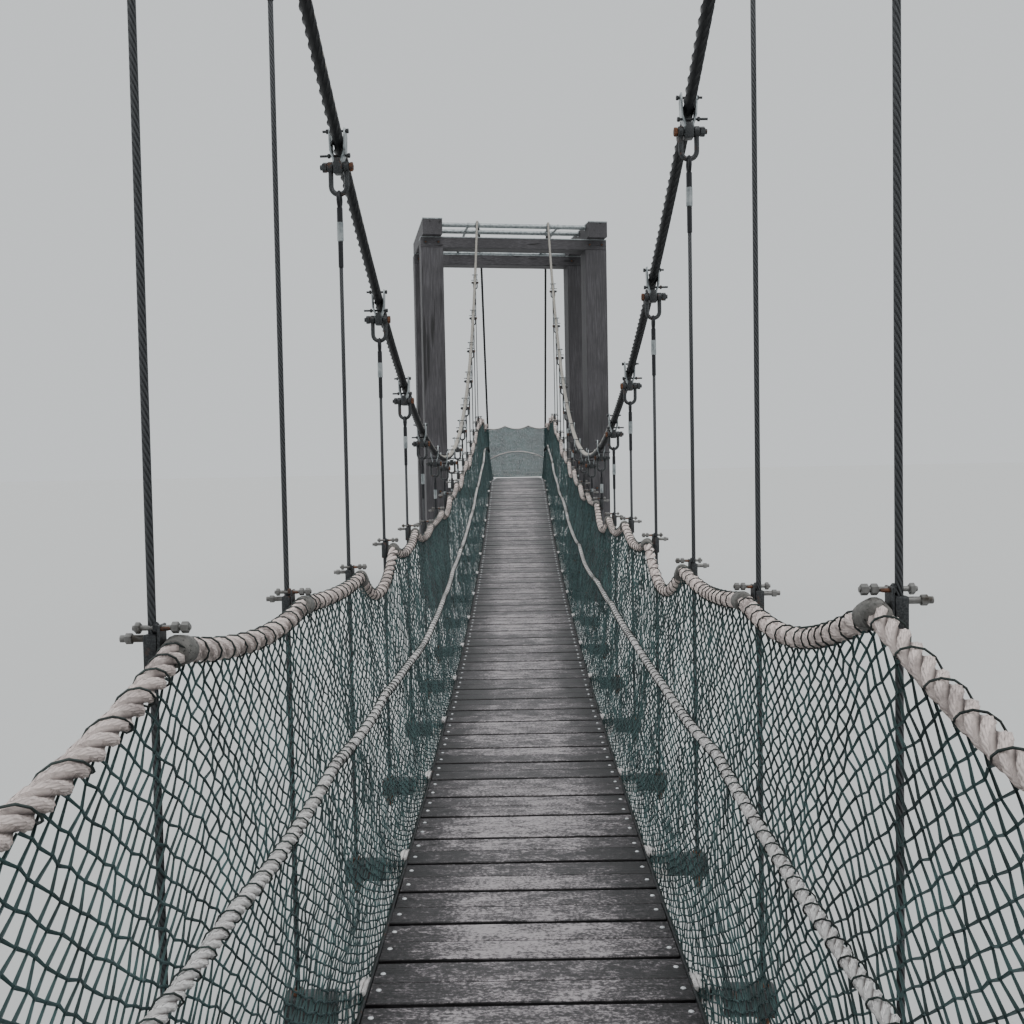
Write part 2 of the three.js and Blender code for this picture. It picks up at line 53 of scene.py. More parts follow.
# Materials
def srgb(text):
    parts = [int(text[i:i + 2], 16) / 255 for i in (0, 2, 4)]
    return tuple(c / 12.92 if c <= 0.04045 else ((c + 0.055) / 1.055) ** 2.4 for c in parts) + (1.0,)


# Fills inputs by number or name: a socket is linked, a hex colour is turned linear
def fillInputs(node, inputs):
    for key, value in inputs.items() if isinstance(inputs, dict) else enumerate(inputs):
        if isinstance(value, bpy.types.NodeSocket):
            node.id_data.links.new(value, node.inputs[key])
        else:
            node.inputs[key].default_value = srgb(value) if isinstance(value, str) else value


# Adds a node with its settings and inputs, and gives back one of its outputs
def addNode(tree, kind, inputs=(), out=0, **settings):
    node = tree.nodes.new("ShaderNode" + kind)
    for key, value in settings.items():
        setattr(node, key, value)
    fillInputs(node, inputs)
    return node.outputs[out]


def startMaterial(name):
    material = bpy.data.materials.new(name)
    material.use_nodes = True
    tree = material.node_tree
    return material, tree, tree.nodes["Principled BSDF"]


# Soft patches of one size, in millimetres, on the piece's own coordinates
def patchPattern(tree, size, stretch=(1, 1, 1), detail=4.0, rough=0.6):
    mapped = addNode(tree, "Mapping", {"Vector": addNode(tree, "TexCoord", out="Object"), "Scale": stretch})
    inputs = {"Vector": mapped, "Scale": 1000 / size, "Detail": detail, "Roughness": rough}
    return addNode(tree, "TexNoise", inputs)


# Lays one colour over another where a pattern passes from its first to its second value
def paintOver(tree, under, over, pattern, start, full):
    share = addNode(tree, "MapRange", (pattern, start, full))
    return addNode(tree, "Mix", {0: share, 6: under, 7: over}, 2, data_type="RGBA")


# Ridges that run slanting round a tube, so many millimetres apart along it and so many round it
def slantRidges(tree, spacing, laps):
    onTube = addNode(tree, "UVMap", uv_map="along")
    length = addNode(tree, "SeparateXYZ", (onTube,), "X")
    around = addNode(tree, "SeparateXYZ", (onTube,), "Y")
    turn = addNode(tree, "Math", (length, 1000 / spacing), operation="MULTIPLY")
    lap = addNode(tree, "Math", (around, laps), operation="MULTIPLY")
    slant = addNode(tree, "Math", (turn, lap), operation="ADD")
    angle = addNode(tree, "Math", (slant, math.pi), operation="MULTIPLY")
    wave = addNode(tree, "Math", (angle, 0.0), operation="SINE")
    return addNode(tree, "Math", (wave, 0.0), operation="ABSOLUTE")


# Worn hardwood decking, rain wet: dark grey body mottled with bleached, polished fibres, more in the middle;
# the boards' sides in the gaps painted dark as painted shade
def makeDecking():
    look = {"wetAndSideShade": "191718", "body": "423d40", "worn": "aea7a9", "grain": 7, "mottle": 11, "blotch": 60,
            "broad": 588}
    material, tree, shader = startMaterial("wornHardwoodDecking")
    grain = patchPattern(tree, look["grain"], (0.05, 1, 1), 3)
    blotches = patchPattern(tree, look["blotch"], (0.5, 1, 1), 4, 0.6)
    mottle = patchPattern(tree, look["mottle"], (0.75, 1, 1), 5, 0.75)
    broad = patchPattern(tree, look["broad"], (1, 1, 1), 2)
    across = addNode(tree, "SeparateXYZ", (addNode(tree, "TexCoord", out="Object"),), "X")
    fromMiddle = addNode(tree, "Math", (across, 0.0), operation="ABSOLUTE")
    tone = addNode(tree, "Attribute", out="Fac", attribute_name="boardTone")
    wear = addNode(tree, "MapRange", (mottle, 0.3, 0.7, 0.24, 0.76))
    for shares in ((blotches, 0.3, 0.7, -0.12, 0.12), (fromMiddle, 0.2, 0.47, 0.03, -0.17),
                   (grain, 0.3, 0.7, -0.06, 0.06), (broad, 0.3, 0.7, -0.05, 0.05), (tone, 0, 1, -0.07, 0.07)):
        wear = addNode(tree, "Math", (wear, addNode(tree, "MapRange", shares)), operation="ADD")
    color = paintOver(tree, look["wetAndSideShade"], look["body"], wear, 0.34, 0.48)
    color = paintOver(tree, color, look["worn"], wear, 0.48, 0.68)
    # Painted shade: faces that do not look up, the boards' sides in the gaps, take the dark wet colour
    facing = addNode(tree, "SeparateXYZ", (addNode(tree, "NewGeometry", out="Normal"),), "Z")
    color = paintOver(tree, look["wetAndSideShade"], color, facing, 0.3, 0.8)
    relief = addNode(tree, "Bump", {"Height": grain, "Distance": 0.0012, "Strength": 0.8})
    relief = addNode(tree, "Bump", {"Height": wear, "Distance": 0.0015, "Strength": 0.5, "Normal": relief})
    fillInputs(shader, {
        "Base Color": color,
        "Roughness": addNode(tree, "MapRange", (wear, 0.35, 0.8, 0.34, 0.62)),
        "Normal": relief,
    })
    return material


# Sawn structural hardwood, long unpainted: dark grey, silvered in streaks along the grain, with open checks
def makeTimberFinish(name, stretch):
    look = {"dark": "2b2a2c", "body": "3f3d40", "silver": "5d5b5e", "crack": "1d1c1d", "grain": 18,
            "check": 111, "stain": 714}
    material, tree, shader = startMaterial(name)
    grain = patchPattern(tree, look["grain"], stretch, 5, 0.65)
    checks = patchPattern(tree, look["check"], stretch, 2, 0.5)
    stains = patchPattern(tree, look["stain"], (1, 1, 0.6), 5, 0.6)
    fine = addNode(tree, "Math", (grain, 0.6), operation="MULTIPLY")
    soft = addNode(tree, "Math", (stains, 0.4), operation="MULTIPLY")
    streak = addNode(tree, "Math", (fine, soft), operation="ADD")
    color = paintOver(tree, look["dark"], look["body"], streak, 0.36, 0.52)
    color = paintOver(tree, color, look["silver"], streak, 0.5, 0.68)
    color = paintOver(tree, look["crack"], color, checks, 0.31, 0.36)
    crack = addNode(tree, "MapRange", (checks, 0.31, 0.36))
    relief = addNode(tree, "Bump", {"Height": grain, "Distance": 0.006, "Strength": 0.7})
    relief = addNode(tree, "Bump", {"Height": crack, "Distance": 0.01, "Strength": 0.8, "Normal": relief})
    fillInputs(shader, {
        "Base Color": color,
        "Roughness": addNode(tree, "MapRange", (streak, 0.35, 0.65, 0.6, 0.85)),
        "Normal": relief,
    })
    return material


# Hot-dip galvanised steel, weathered dull: zinc grey with a faint spangle and dirt in patches
def makeZinc(name, look):
    sizes = {"spangle": 6.25, "cloud": 45.5}
    material, tree, shader = startMaterial(name)
    coords = addNode(tree, "TexCoord", out="Object")
    spangle = addNode(tree, "TexVoronoi", {"Vector": coords, "Scale": 1000 / sizes["spangle"]}, "Color")
    cloud = patchPattern(tree, sizes["cloud"], (1, 1, 1), 5)
    color = paintOver(tree, look["dull"], look["bright"], cloud, 0.35, 0.6)
    color = paintOver(tree, color, look["stain"], cloud, look["stainFrom"], look["stainFrom"] - 0.08)
    gleam = addNode(tree, "Math", (addNode(tree, "SeparateColor", (spangle,)), 0.12), operation="MULTIPLY")
    fillInputs(shader, {
        "Base Color": color,
        "Metallic": look["metal"],
        "Roughness": addNode(tree, "Math", (gleam, 0.38), operation="ADD"),
        "Normal": addNode(tree, "Bump", {"Height": cloud, "Distance": 0.0006, "Strength": 0.5}),
    })
    return material


# Painted mild steel gone dark, rust showing through in patches
def makeDarkSteel():
    look = {"paint": "2a2c2e", "rust": "54382a", "dust": "4d4f50", "patch": 38.5, "speck": 4.17}
    material, tree, shader = startMaterial("oldPaintedSteel")
    patches = patchPattern(tree, look["patch"], (1, 1, 1), 6, 0.7)
    fine = patchPattern(tree, look["speck"], (1, 1, 1), 3)
    color = paintOver(tree, look["paint"], look["dust"], fine, 0.4, 0.7)
    color = paintOver(tree, color, look["rust"], patches, 0.58, 0.68)
    rust = addNode(tree, "MapRange", (patches, 0.58, 0.68))
    fillInputs(shader, {
        "Base Color": color,
        "Metallic": addNode(tree, "MapRange", (rust, 0, 1, 0.5, 0.05)),
        "Roughness": addNode(tree, "MapRange", (rust, 0, 1, 0.45, 0.85)),
        "Normal": addNode(tree, "Bump", {"Height": patches, "Distance": 0.0015, "Strength": 0.6}),
    })
    return material


# Bare steel under rust: orange-brown bloom over darker scale
def makeRust():
    look = {"scale": "2d211b", "bloom": "5f3d2a", "bright": "8e5b3b", "patch": 16.7}
    material, tree, shader = startMaterial("rustedSteel")
    bloom = patchPattern(tree, look["patch"], (1, 1, 1), 6, 0.7)
    color = paintOver(tree, look["scale"], look["bloom"], bloom, 0.38, 0.52)
    color = paintOver(tree, color, look["bright"], bloom, 0.54, 0.7)
    fillInputs(shader, {
        "Base Color": color,
        "Metallic": 0.1,
        "Roughness": 0.82,
        "Normal": addNode(tree, "Bump", {"Height": bloom, "Distance": 0.001, "Strength": 0.7}),
    })
    return material


# Black grease on stranded steel; faces that look at the sky painted pale as painted light, faces turned down
# painted dark as painted shade, and painted shade in the valleys between strands
def makeCableWire():
    look = {"under": "1d1e21", "side": "3a3b3e", "top": "b0aba2", "valleyShade": "131416", "cloud": 55.6,
            "wire": 3.13}
    material, tree, shader = startMaterial("greasedStrandedSteel")
    facing = addNode(tree, "SeparateXYZ", (addNode(tree, "NewGeometry", out="Normal"),), "Z")
    cloud = patchPattern(tree, look["cloud"], (1, 1, 1), 5, 0.7)
    patchy = addNode(tree, "MapRange", (cloud, 0.3, 0.7, -0.25, 0.25))
    lit = addNode(tree, "Math", (facing, patchy), operation="ADD")
    crown = addNode(tree, "Attribute", out="Fac", attribute_name="crown")
    # Painted light and shade: dark underneath to pale on top, by which way each face looks
    color = paintOver(tree, look["under"], look["side"], lit, -0.35, 0.1)
    color = paintOver(tree, color, look["top"], lit, 0.05, 0.65)
    # Painted shade in the valleys between strands
    color = paintOver(tree, look["valleyShade"], color, crown, 0.0, 0.55)
    wires = patchPattern(tree, look["wire"], (1, 1, 1), 2)
    fillInputs(shader, {
        "Base Color": color,
        "Metallic": 0.15,
        "Roughness": 0.55,
        "Normal": addNode(tree, "Bump", {"Height": wires, "Distance": 0.0006, "Strength": 0.5}),
    })
    return material


# 17 mm wire rope of the hangers: dark steel, its strands drawn as a slanting wave on the tube, one each 18
#                                 mm;
# the strand crests painted lighter as a painted highlight, the grooves between them darker as painted shade
def makeHangerWire():
    look = {"wire": "26272a", "gleam": "4c4e50", "strandTurn": 18, "strands": 6}
    material, tree, shader = startMaterial("hangerWireRope")
    ridge = slantRidges(tree, look["strandTurn"], look["strands"])
    # Painted highlight on the strand crests, painted shade between them
    color = addNode(tree, "Mix", {0: ridge, 6: look["wire"], 7: look["gleam"]}, 2, data_type="RGBA")
    fillInputs(shader, {
        "Base Color": color,
        "Metallic": 0.5,
        "Roughness": 0.5,
        "Normal": addNode(tree, "Bump", {"Height": ridge, "Distance": 0.003, "Strength": 0.8}),
    })
    return material


# Three-strand natural fibre rope, sun bleached: chalky fibres in slanting yarns; the lay between strands and
# between yarns painted dark as painted shade
def makeNaturalRope(name, look):
    sizes = {"cloud": 90.9, "fuzz": 2.38, "yarnTurn": 12.86, "yarnsAround": 9}
    material, tree, shader = startMaterial(name)
    yarn = slantRidges(tree, sizes["yarnTurn"], sizes["yarnsAround"])
    cloud = patchPattern(tree, sizes["cloud"], (1, 1, 1), 6, 0.65)
    fuzz = patchPattern(tree, sizes["fuzz"], (1, 1, 1), 3)
    crown = addNode(tree, "Attribute", out="Fac", attribute_name="crown")
    # Painted shade: darker between the yarns and in the valleys between the strands
    shade = addNode(tree, "MapRange", (yarn, 0.0, 0.5, 0.84, 1.0))
    color = paintOver(tree, look["grey"], look["fibre"], cloud, 0.36, 0.5)
    color = addNode(tree, "Mix", {0: shade, 6: look["valleyShade"], 7: color}, 2, data_type="RGBA")
    color = paintOver(tree, look["valleyShade"], color, crown, 0.0, 0.42)
    relief = addNode(tree, "Bump", {"Height": fuzz, "Distance": 0.0008, "Strength": 0.6})
    relief = addNode(tree, "Bump", {"Height": yarn, "Distance": 0.0015, "Strength": 0.7, "Normal": relief})
    fillInputs(shader, {"Base Color": color, "Roughness": 0.95, "Normal": relief})
    return material


# Knotted polyethylene twine: dark green, dulled by weather, its loose fibres pale at a slant
def makeTwine(name, body, pale, rough, fuzz):
    look = {"sheen": "b9d4da", "cloud": 143, "lay": 2}
    material, tree, shader = startMaterial(name)
    cloud = patchPattern(tree, look["cloud"], (1, 1, 1), 5, 0.7)
    lay = patchPattern(tree, look["lay"], (1, 1, 1), 2)
    fillInputs(shader, {
        "Base Color": paintOver(tree, body, pale, cloud, 0.38, 0.68),
        "Roughness": rough,
        "Sheen Weight": fuzz,
        "Sheen Roughness": 0.45,
        "Sheen Tint": look["sheen"],
        "Normal": addNode(tree, "Bump", {"Height": lay, "Distance": 0.0008, "Strength": 0.6}),
    })
    return material


# Grey rubber hose slipped over the rope under each bracket: chalked, scuffed, dirt in the scuffs
def makeSleeve():
    look = {"rubber": "545350", "chalk": "7b7975", "dirt": "383633", "cloud": 28.6, "scuff": 6.25}
    material, tree, shader = startMaterial("scuffedGreyRubber")
    cloud = patchPattern(tree, look["cloud"], (1, 1, 1), 5, 0.7)
    scuff = patchPattern(tree, look["scuff"], (1, 0.3, 1), 4, 0.7)
    color = paintOver(tree, look["rubber"], look["chalk"], cloud, 0.4, 0.62)
    color = paintOver(tree, color, look["dirt"], scuff, 0.45, 0.36)
    fillInputs(shader, {
        "Base Color": color,
        "Roughness": addNode(tree, "MapRange", (cloud, 0.4, 0.6, 0.6, 0.85)),
        "Normal": addNode(tree, "Bump", {"Height": scuff, "Distance": 0.001, "Strength": 0.6}),
    })
    return material


# Cast concrete: grey, mottled, pinholed, board marks across the sides and a damp foot
def makeConcrete():
    look = {"light": "a09e97", "mid": "86847d", "damp": "55544f", "mottle": 286, "pinhole": 7.7,
            "board": 75}
    material, tree, shader = startMaterial("castConcrete")
    mottle = patchPattern(tree, look["mottle"], (1, 1, 1), 8, 0.62)
    holes = patchPattern(tree, look["pinhole"], (1, 1, 1), 2)
    height = addNode(tree, "SeparateXYZ", (addNode(tree, "TexCoord", out="Object"),), "Z")
    marks = addNode(tree, "Math", (height, look["board"] / 1000), operation="PINGPONG")
    nearFloor = addNode(tree, "MapRange", (height, 0.0, 0.35, 0.75, 0.0))
    uneven = addNode(tree, "MapRange", (mottle, 0.35, 0.65, 0.2, -0.2))
    damp = addNode(tree, "Math", (nearFloor, uneven), operation="ADD")
    color = paintOver(tree, look["mid"], look["light"], mottle, 0.38, 0.6)
    color = addNode(tree, "Mix", {0: damp, 6: color, 7: look["damp"]}, 2, data_type="RGBA")
    joints = addNode(tree, "MapRange", (marks, 0.0, 0.004))
    pits = addNode(tree, "MapRange", (holes, 0.28, 0.36))
    relief = addNode(tree, "Bump", {"Height": joints, "Distance": 0.002, "Strength": 0.6})
    relief = addNode(tree, "Bump", {"Height": pits, "Distance": 0.003, "Strength": 0.5, "Normal": relief})
    fillInputs(shader, {"Base Color": color, "Roughness": 0.92, "Normal": relief})
    return material


pipeZinc = {"bright": "a2a7a8", "dull": "757b7d", "stain": "54524e", "stainFrom": 0.36, "metal": 0.75}
fittingZinc = {"bright": "807f7d", "dull": "5a5855", "stain": "453f38", "stainFrom": 0.44, "metal": 0.4}
screwZinc = {"bright": "eceeef", "dull": "c4c8ca", "stain": "7d7b77", "stainFrom": 0.34, "metal": 0.35}
handFibre = {"fibre": "e6d7d1", "grey": "b2a5a1", "valleyShade": "4d4543"}
sideFibre = {"fibre": "f8f5f3", "grey": "e0dbd9", "valleyShade": "645e5c"}
finishes = {
    "decking": makeDecking(),
    "timberUp": makeTimberFinish("sawnHardwoodUpright", (1, 1, 0.05)),
    "timberAcross": makeTimberFinish("sawnHardwoodAcross", (0.05, 1, 1)),
    "timberAlong": makeTimberFinish("sawnHardwoodAlong", (1, 0.05, 1)),
    "zinc": makeZinc("weatheredGalvanisedSteel", pipeZinc),
    "fitting": makeZinc("dirtyGalvanisedFittings", fittingZinc),
    "screw": makeZinc("brightScrewHeads", screwZinc),
    "darkSteel": makeDarkSteel(),
    "rust": makeRust(),
    "cable": makeCableWire(),
    "hangerWire": makeHangerWire(),
    "rope": makeNaturalRope("greyedFibreRope", handFibre),
    "paleRope": makeNaturalRope("bleachedFibreRope", sideFibre),
    "net": makeTwine("darkGreenNetTwine", "1b2c2b", "466463", 0.6, 0.35),
    # Painted sky light and haze: a lighter, bluer copy of the net twine, for the far end net
    "hazeLitNet": makeTwine("blueGreenNetTwine", "2b4a4b", "4c7273", 0.7, 0.2),
    "lashing": makeTwine("blackLashingTwine", "16201e", "33413e", 0.65, 0),
    "sleeve": makeSleeve(),
    "concrete": makeConcrete(),
}
print("materials made")


# Shared lines of the bridge, as the frame has them
bay = 1.2
towerPlaces = {"front": 11.6, "rear": 13.3}
landingEdge = 10.36
guardPlaces = (10.8, 13.2)
netEnd = guardPlaces[1]
towerTurn = math.radians(10)
deckLine = {"lowHeight": 1.2, "lowPlace": -5.2, "radius": 71.4, "knot": bay / 2, "easeStart": 8.4,
            "levelFrom": 10.2}
cableLine = {"low": 2.97, "scale": 13.83, "tangent": 11.45, "stay": math.radians(54), "end": 1.1, "x": 0.74,
             "r": 0.026, "shift": 0.74 * math.tan(towerTurn)}
ropeLine = {"x": 0.69, "height": 1.19, "r": 0.026, "end": 13.244}
midLine = {"height": 0.6, "sag": 0.015, "r": 0.018, "lashedShare": 1.12, "clear": 0.006}
netLine = {"foot": 0.53, "footDrop": 0.0443, "atSupport": 0.06, "between": 0.034, "reach": 0.3}
stations = [bay * step for step in range(-8, 9)]
supports = [-place for place in guardPlaces[::-1]] + stations + list(guardPlaces)

# How far each support lifts a rope over its usual height, and the sag of each span, both in millimetres and
# counted from the near end, for the left side and the right side
ropeLifts = {-1: [0, 0, -150, 36, 10, 0, 38, 36, -30, -30, 0, 20, 0, 30, -20, 0, 25, 0, 0, 0, 0],
             1: [0, 0, -150, 85, 0, 0, 38, 57, 0, 30, 0, -20, 25, 0, 0, 30, -25, 0, 20, 0, 0]}
ropeSags = {-1: [150, 90, 40, 43, 17, 150, 75, 64, 20, 100, 60, 110, 45, 130, 70, 90, 40, 120, 80, 150],
            1: [150, 70, 45, 80, 30, 160, 66, 72, 150, 30, 80, 50, 120, 60, 140, 50, 100, 40, 90, 150]}
midLifts = {-1: [0, 60, 95, 95, 85, 85, 25, 10, 20, 40, 60, 40, 70, 50, 80, 60, 40, 60, 30, 30, 0],
            1: [0, 20, 35, 35, 110, 95, 105, 130, 90, 60, 80, 50, 70, 90, 50, 40, 60, 30, 50, 20, 0]}


def deckCurve(y):
    s = deckLine
    onSag = min(max(y, -s["levelFrom"]), s["easeStart"])
    ease = s["levelFrom"] - s["easeStart"]
    eased = min(max(y - s["easeStart"], 0), ease)
    slope = (s["easeStart"] - s["lowPlace"]) / s["radius"]
    sagged = s["lowHeight"] + (onSag - s["lowPlace"]) ** 2 / (2 * s["radius"])
    return sagged + slope * (eased - eased ** 2 / (2 * ease))


# The deck runs straight from knot to knot
def deckTop(y):
    knot = math.floor(y / deckLine["knot"] + 1e-9) * deckLine["knot"]
    share = (y - knot) / deckLine["knot"]
    return deckCurve(knot) * (1 - share) + deckCurve(knot + deckLine["knot"]) * share


def cableCurve(y):
    return cableLine["low"] + cableLine["scale"] * (math.cosh(y / cableLine["scale"]) - 1)


def cableHeight(side, y):
    return cableCurve(y - side * cableLine["shift"])


# Number of the span between two supports, and the share of it already passed
def spanAt(y):
    place = min(max(y, supports[0]), supports[-1] - 1e-6)
    index = sum(place >= support for support in supports) - 1
    return index, (place - supports[index]) / (supports[index + 1] - supports[index])


def liftAt(lifts, y):
    index, share = spanAt(y)
    return (lifts[index] * (1 - share) + lifts[index + 1] * share) / 1000


def handRopeHeight(side, y):
    index, share = spanAt(y)
    drop = 4 * ropeSags[side][index] / 1000 * share * (1 - share)
    return deckTop(y) + ropeLine["height"] + liftAt(ropeLifts[side], y) - drop


def midRopeHeight(side, y):
    share = spanAt(y)[1]
    drop = 4 * midLine["sag"] * share * (1 - share)
    return deckTop(y) + midLine["height"] + liftAt(midLifts[side], y) - drop


# The net's head hangs lower under the rope at a support than between two
def netHead(side, y):
    toSupport = min(min(abs(place - y) for place in supports), netLine["reach"])
    drop = netLine["atSupport"] + (netLine["between"] - netLine["atSupport"]) * toSupport / netLine["reach"]
    return handRopeHeight(side, y) - drop


# Turns a piece of a tower, made square to the bridge, with the tower's front frame
def turnOnPlan(piece, end):
    middle = Matrix.Translation((0, end * towerPlaces["front"], 0))
    piece.data.transform(middle @ Matrix.Rotation(towerTurn, 4, "Z") @ middle.inverted())
    return piece


# Shared making
def pick(piece):
    bpy.ops.object.select_all(action="DESELECT")
    piece.select_set(True)
    bpy.context.view_layer.objects.active = piece


# Puts the place, turn and scale of a new primitive into its mesh
def applyPlace():
    bpy.ops.object.transform_apply(location=True, rotation=True, scale=True)
    return bpy.context.object


def startBlock(low, high):
    bpy.ops.object.select_all(action="DESELECT")
    centre = [(a + b) / 2 for a, b in zip(low, high)]
    size = [abs(b - a) for a, b in zip(low, high)]
    bpy.ops.mesh.primitive_cube_add(size=1, location=centre, scale=size)
    return applyPlace()


def startRod(start, end, radius, sides):
    bpy.ops.object.select_all(action="DESELECT")
    line = Vector(end) - Vector(start)
    turn = line.to_track_quat("Z", "Y").to_euler()
    bpy.ops.mesh.primitive_cylinder_add(vertices=sides, radius=radius, depth=line.length,
                                        location=(Vector(start) + Vector(end)) / 2, rotation=turn)
    return applyPlace()


def softenEdges(piece, width, segments=1):
    pick(piece)
    bpy.ops.object.mode_set(mode="EDIT")
    bpy.ops.mesh.select_all(action="SELECT")
    bpy.ops.mesh.bevel(offset=width, segments=segments, affect="EDGES")
    bpy.ops.object.mode_set(mode="OBJECT")
    return piece


# Bevels the edges round the end faces of a rod
def softenRims(piece, width):
    pick(piece)
    bpy.ops.object.mode_set(mode="EDIT")
    bpy.ops.mesh.select_all(action="DESELECT")
    bpy.ops.object.mode_set(mode="OBJECT")
    for face in piece.data.polygons:
        face.select = len(face.vertices) > 4
    bpy.ops.object.mode_set(mode="EDIT")
    bpy.ops.mesh.bevel(offset=width, segments=1, affect="EDGES")
    bpy.ops.object.mode_set(mode="OBJECT")
    return piece


# Bevels the edges that run along one axis
def softenLongEdges(piece, axis, width):
    pick(piece)
    bpy.ops.object.mode_set(mode="EDIT")
    bpy.ops.mesh.select_all(action="DESELECT")
    bpy.ops.mesh.select_mode(type="EDGE")
    bpy.ops.object.mode_set(mode="OBJECT")
    points = piece.data.vertices
    for edge in piece.data.edges:
        line = points[edge.vertices[0]].co - points[edge.vertices[1]].co
        edge.select = abs(line[axis]) > 0.99 * line.length
    bpy.ops.object.mode_set(mode="EDIT")
    bpy.ops.mesh.bevel(offset=width, segments=2, affect="EDGES")
    bpy.ops.object.mode_set(mode="OBJECT")


def cutAcross(piece, places, axis):
    pick(piece)
    bpy.ops.object.mode_set(mode="EDIT")
    for place in places:
        bpy.ops.mesh.select_all(action="SELECT")
        spot = [0.0, 0.0, 0.0]
        spot[axis] = place
        normal = [0.0, 0.0, 0.0]
        normal[axis] = 1.0
        bpy.ops.mesh.bisect(plane_co=spot, plane_no=normal)
    bpy.ops.object.mode_set(mode="OBJECT")


# Round faces shade smooth and corners stay sharp
def smoothRounds(parts):
    for part in parts:
        pick(part)
        bpy.ops.object.shade_smooth_by_angle(angle=math.radians(40))


def coat(piece, finish):
    piece.data.materials.clear()
    piece.data.materials.append(finishes[finish])
    return piece


def joined(pieces, name):
    bpy.ops.object.select_all(action="DESELECT")
    for piece in pieces:
        piece.select_set(True)
    bpy.context.view_layer.objects.active = pieces[0]
    bpy.ops.object.join()
    pieces[0].name = name
    pieces[0].data.name = name
    return pieces[0]


def copyAt(source, matrix):
    copy = source.copy()
    copy.data = source.data.copy()
    copy.name = "copy"
    bpy.context.scene.collection.objects.link(copy)
    copy.data.transform(matrix)
    return copy


def meshPiece(name, points, faces, finish):
    mesh = bpy.data.meshes.new(name)
    mesh.from_pydata(points.tolist(), [], faces)
    mesh.polygons.foreach_set("use_smooth", [True] * len(mesh.polygons))
    piece = bpy.data.objects.new(name, mesh)
    bpy.context.scene.collection.objects.link(piece)
    return coat(piece, finish)


def settle(piece, slotName, *nodes):
    if nodes:
        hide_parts(*nodes)
    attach(piece, "root")


# Distance travelled at each point of a path
def travelOf(path):
    return np.concatenate([[0], np.cumsum(np.linalg.norm(np.diff(path, axis=0), axis=1))])


# The points of a path at some distances along it
def pointsAlong(path, travelled, wanted):
    return np.stack([np.interp(wanted, travelled, path[:, i]) for i in range(3)], axis=1)


# Places at an even step along a run of points
def evenPath(points, step):
    points = np.asarray(points, float)
    lengths = travelOf(points)
    count = max(int(round(lengths[-1] / step)), 1) + 1
    wanted = np.linspace(0, lengths[-1], count)
    return pointsAlong(points, lengths, wanted), wanted


# Directions at each place of a path: across it and out of it
def pathFrames(path):
    along = np.gradient(path, axis=0)
    along /= np.linalg.norm(along, axis=1)[:, None]
    up = np.where(np.abs(along[:, 2:3]) > 0.95, np.array([[0.0, 1.0, 0.0]]), np.array([[0.0, 0.0, 1.0]]))
    across = np.cross(up, along)
    across /= np.linalg.norm(across, axis=1)[:, None]
    return across, np.cross(along, across)


# The section of a laid rope: round strands side by side, filled to a share of the radius between them
def strandSection(radius, strands, perStrand, fill):
    distance = 1 / (1 + math.sin(math.pi / strands))
    strandRadius = 1 - distance
    angles = np.arange(strands * perStrand) * 2 * math.pi / (strands * perStrand)
    off = (angles % (2 * math.pi / strands)) - math.pi / strands
    inside = np.maximum(strandRadius ** 2 - (distance * np.sin(off)) ** 2, 0)
    reach = np.maximum(distance * np.cos(off) + np.sqrt(inside), fill)
    return angles, radius * reach, (reach - fill) / (1 - fill), (off / (2 * math.pi / strands)) + 0.5


# A skin over rings of points; the finish reads how far along and how far round each point lies
def tubeMesh(name, rings, finish, travelled, shares, crown):
    count, sides = rings.shape[:2]
    index = np.arange(count * sides).reshape(count, sides)
    here, after = index[:-1], index[1:]
    faces = np.stack([here, np.roll(here, -1, 1), np.roll(after, -1, 1), after], axis=-1).reshape(-1, 4)
    caps = [index[0][::-1].tolist(), index[-1].tolist()]
    piece = meshPiece(name, rings.reshape(-1, 3), faces.tolist() + caps, finish)
    mesh = piece.data
    crowns = np.broadcast_to(crown, (count, sides)).astype(np.float32).ravel()
    mesh.attributes.new("crown", "FLOAT", "POINT").data.foreach_set("value", crowns)
    along = np.stack(np.broadcast_arrays(travelled[:, None], shares[None, :]), axis=-1).reshape(-1, 2)
    corners = np.zeros(len(mesh.loops), np.int32)
    mesh.loops.foreach_get("vertex_index", corners)
    layer = mesh.uv_layers.new(name="along")
    layer.data.foreach_set("uv", along.astype(np.float32)[corners].ravel())
    return piece


def laidRope(name, points, finish, radius, look):
    path, travelled = evenPath(points, look["lay"] / look["stepsPerTurn"])
    across, out = pathFrames(path)
    angles, reach, crown, shares = strandSection(radius, look["strands"], look["perStrand"], look["fill"])
    spin = angles[None, :] + (2 * math.pi * travelled / look["lay"])[:, None]
    rings = (path[:, None, :] + reach[None, :, None] * (np.cos(spin)[..., None] * across[:, None, :]
                                                        + np.sin(spin)[..., None] * out[:, None, :]))
    return tubeMesh(name, rings, finish, travelled, shares, crown)


def plainTube(name, points, finish, radius, sides):
    path = np.asarray(points, float)
    across, out = pathFrames(path)
    angles = (np.arange(sides) + 0.5) * 2 * math.pi / sides
    rings = path[:, None, :] + radius * (np.cos(angles)[None, :, None] * across[:, None, :]
                                         + np.sin(angles)[None, :, None] * out[:, None, :])
    return tubeMesh(name, rings, finish, travelOf(path), angles / (2 * math.pi), np.ones(sides))


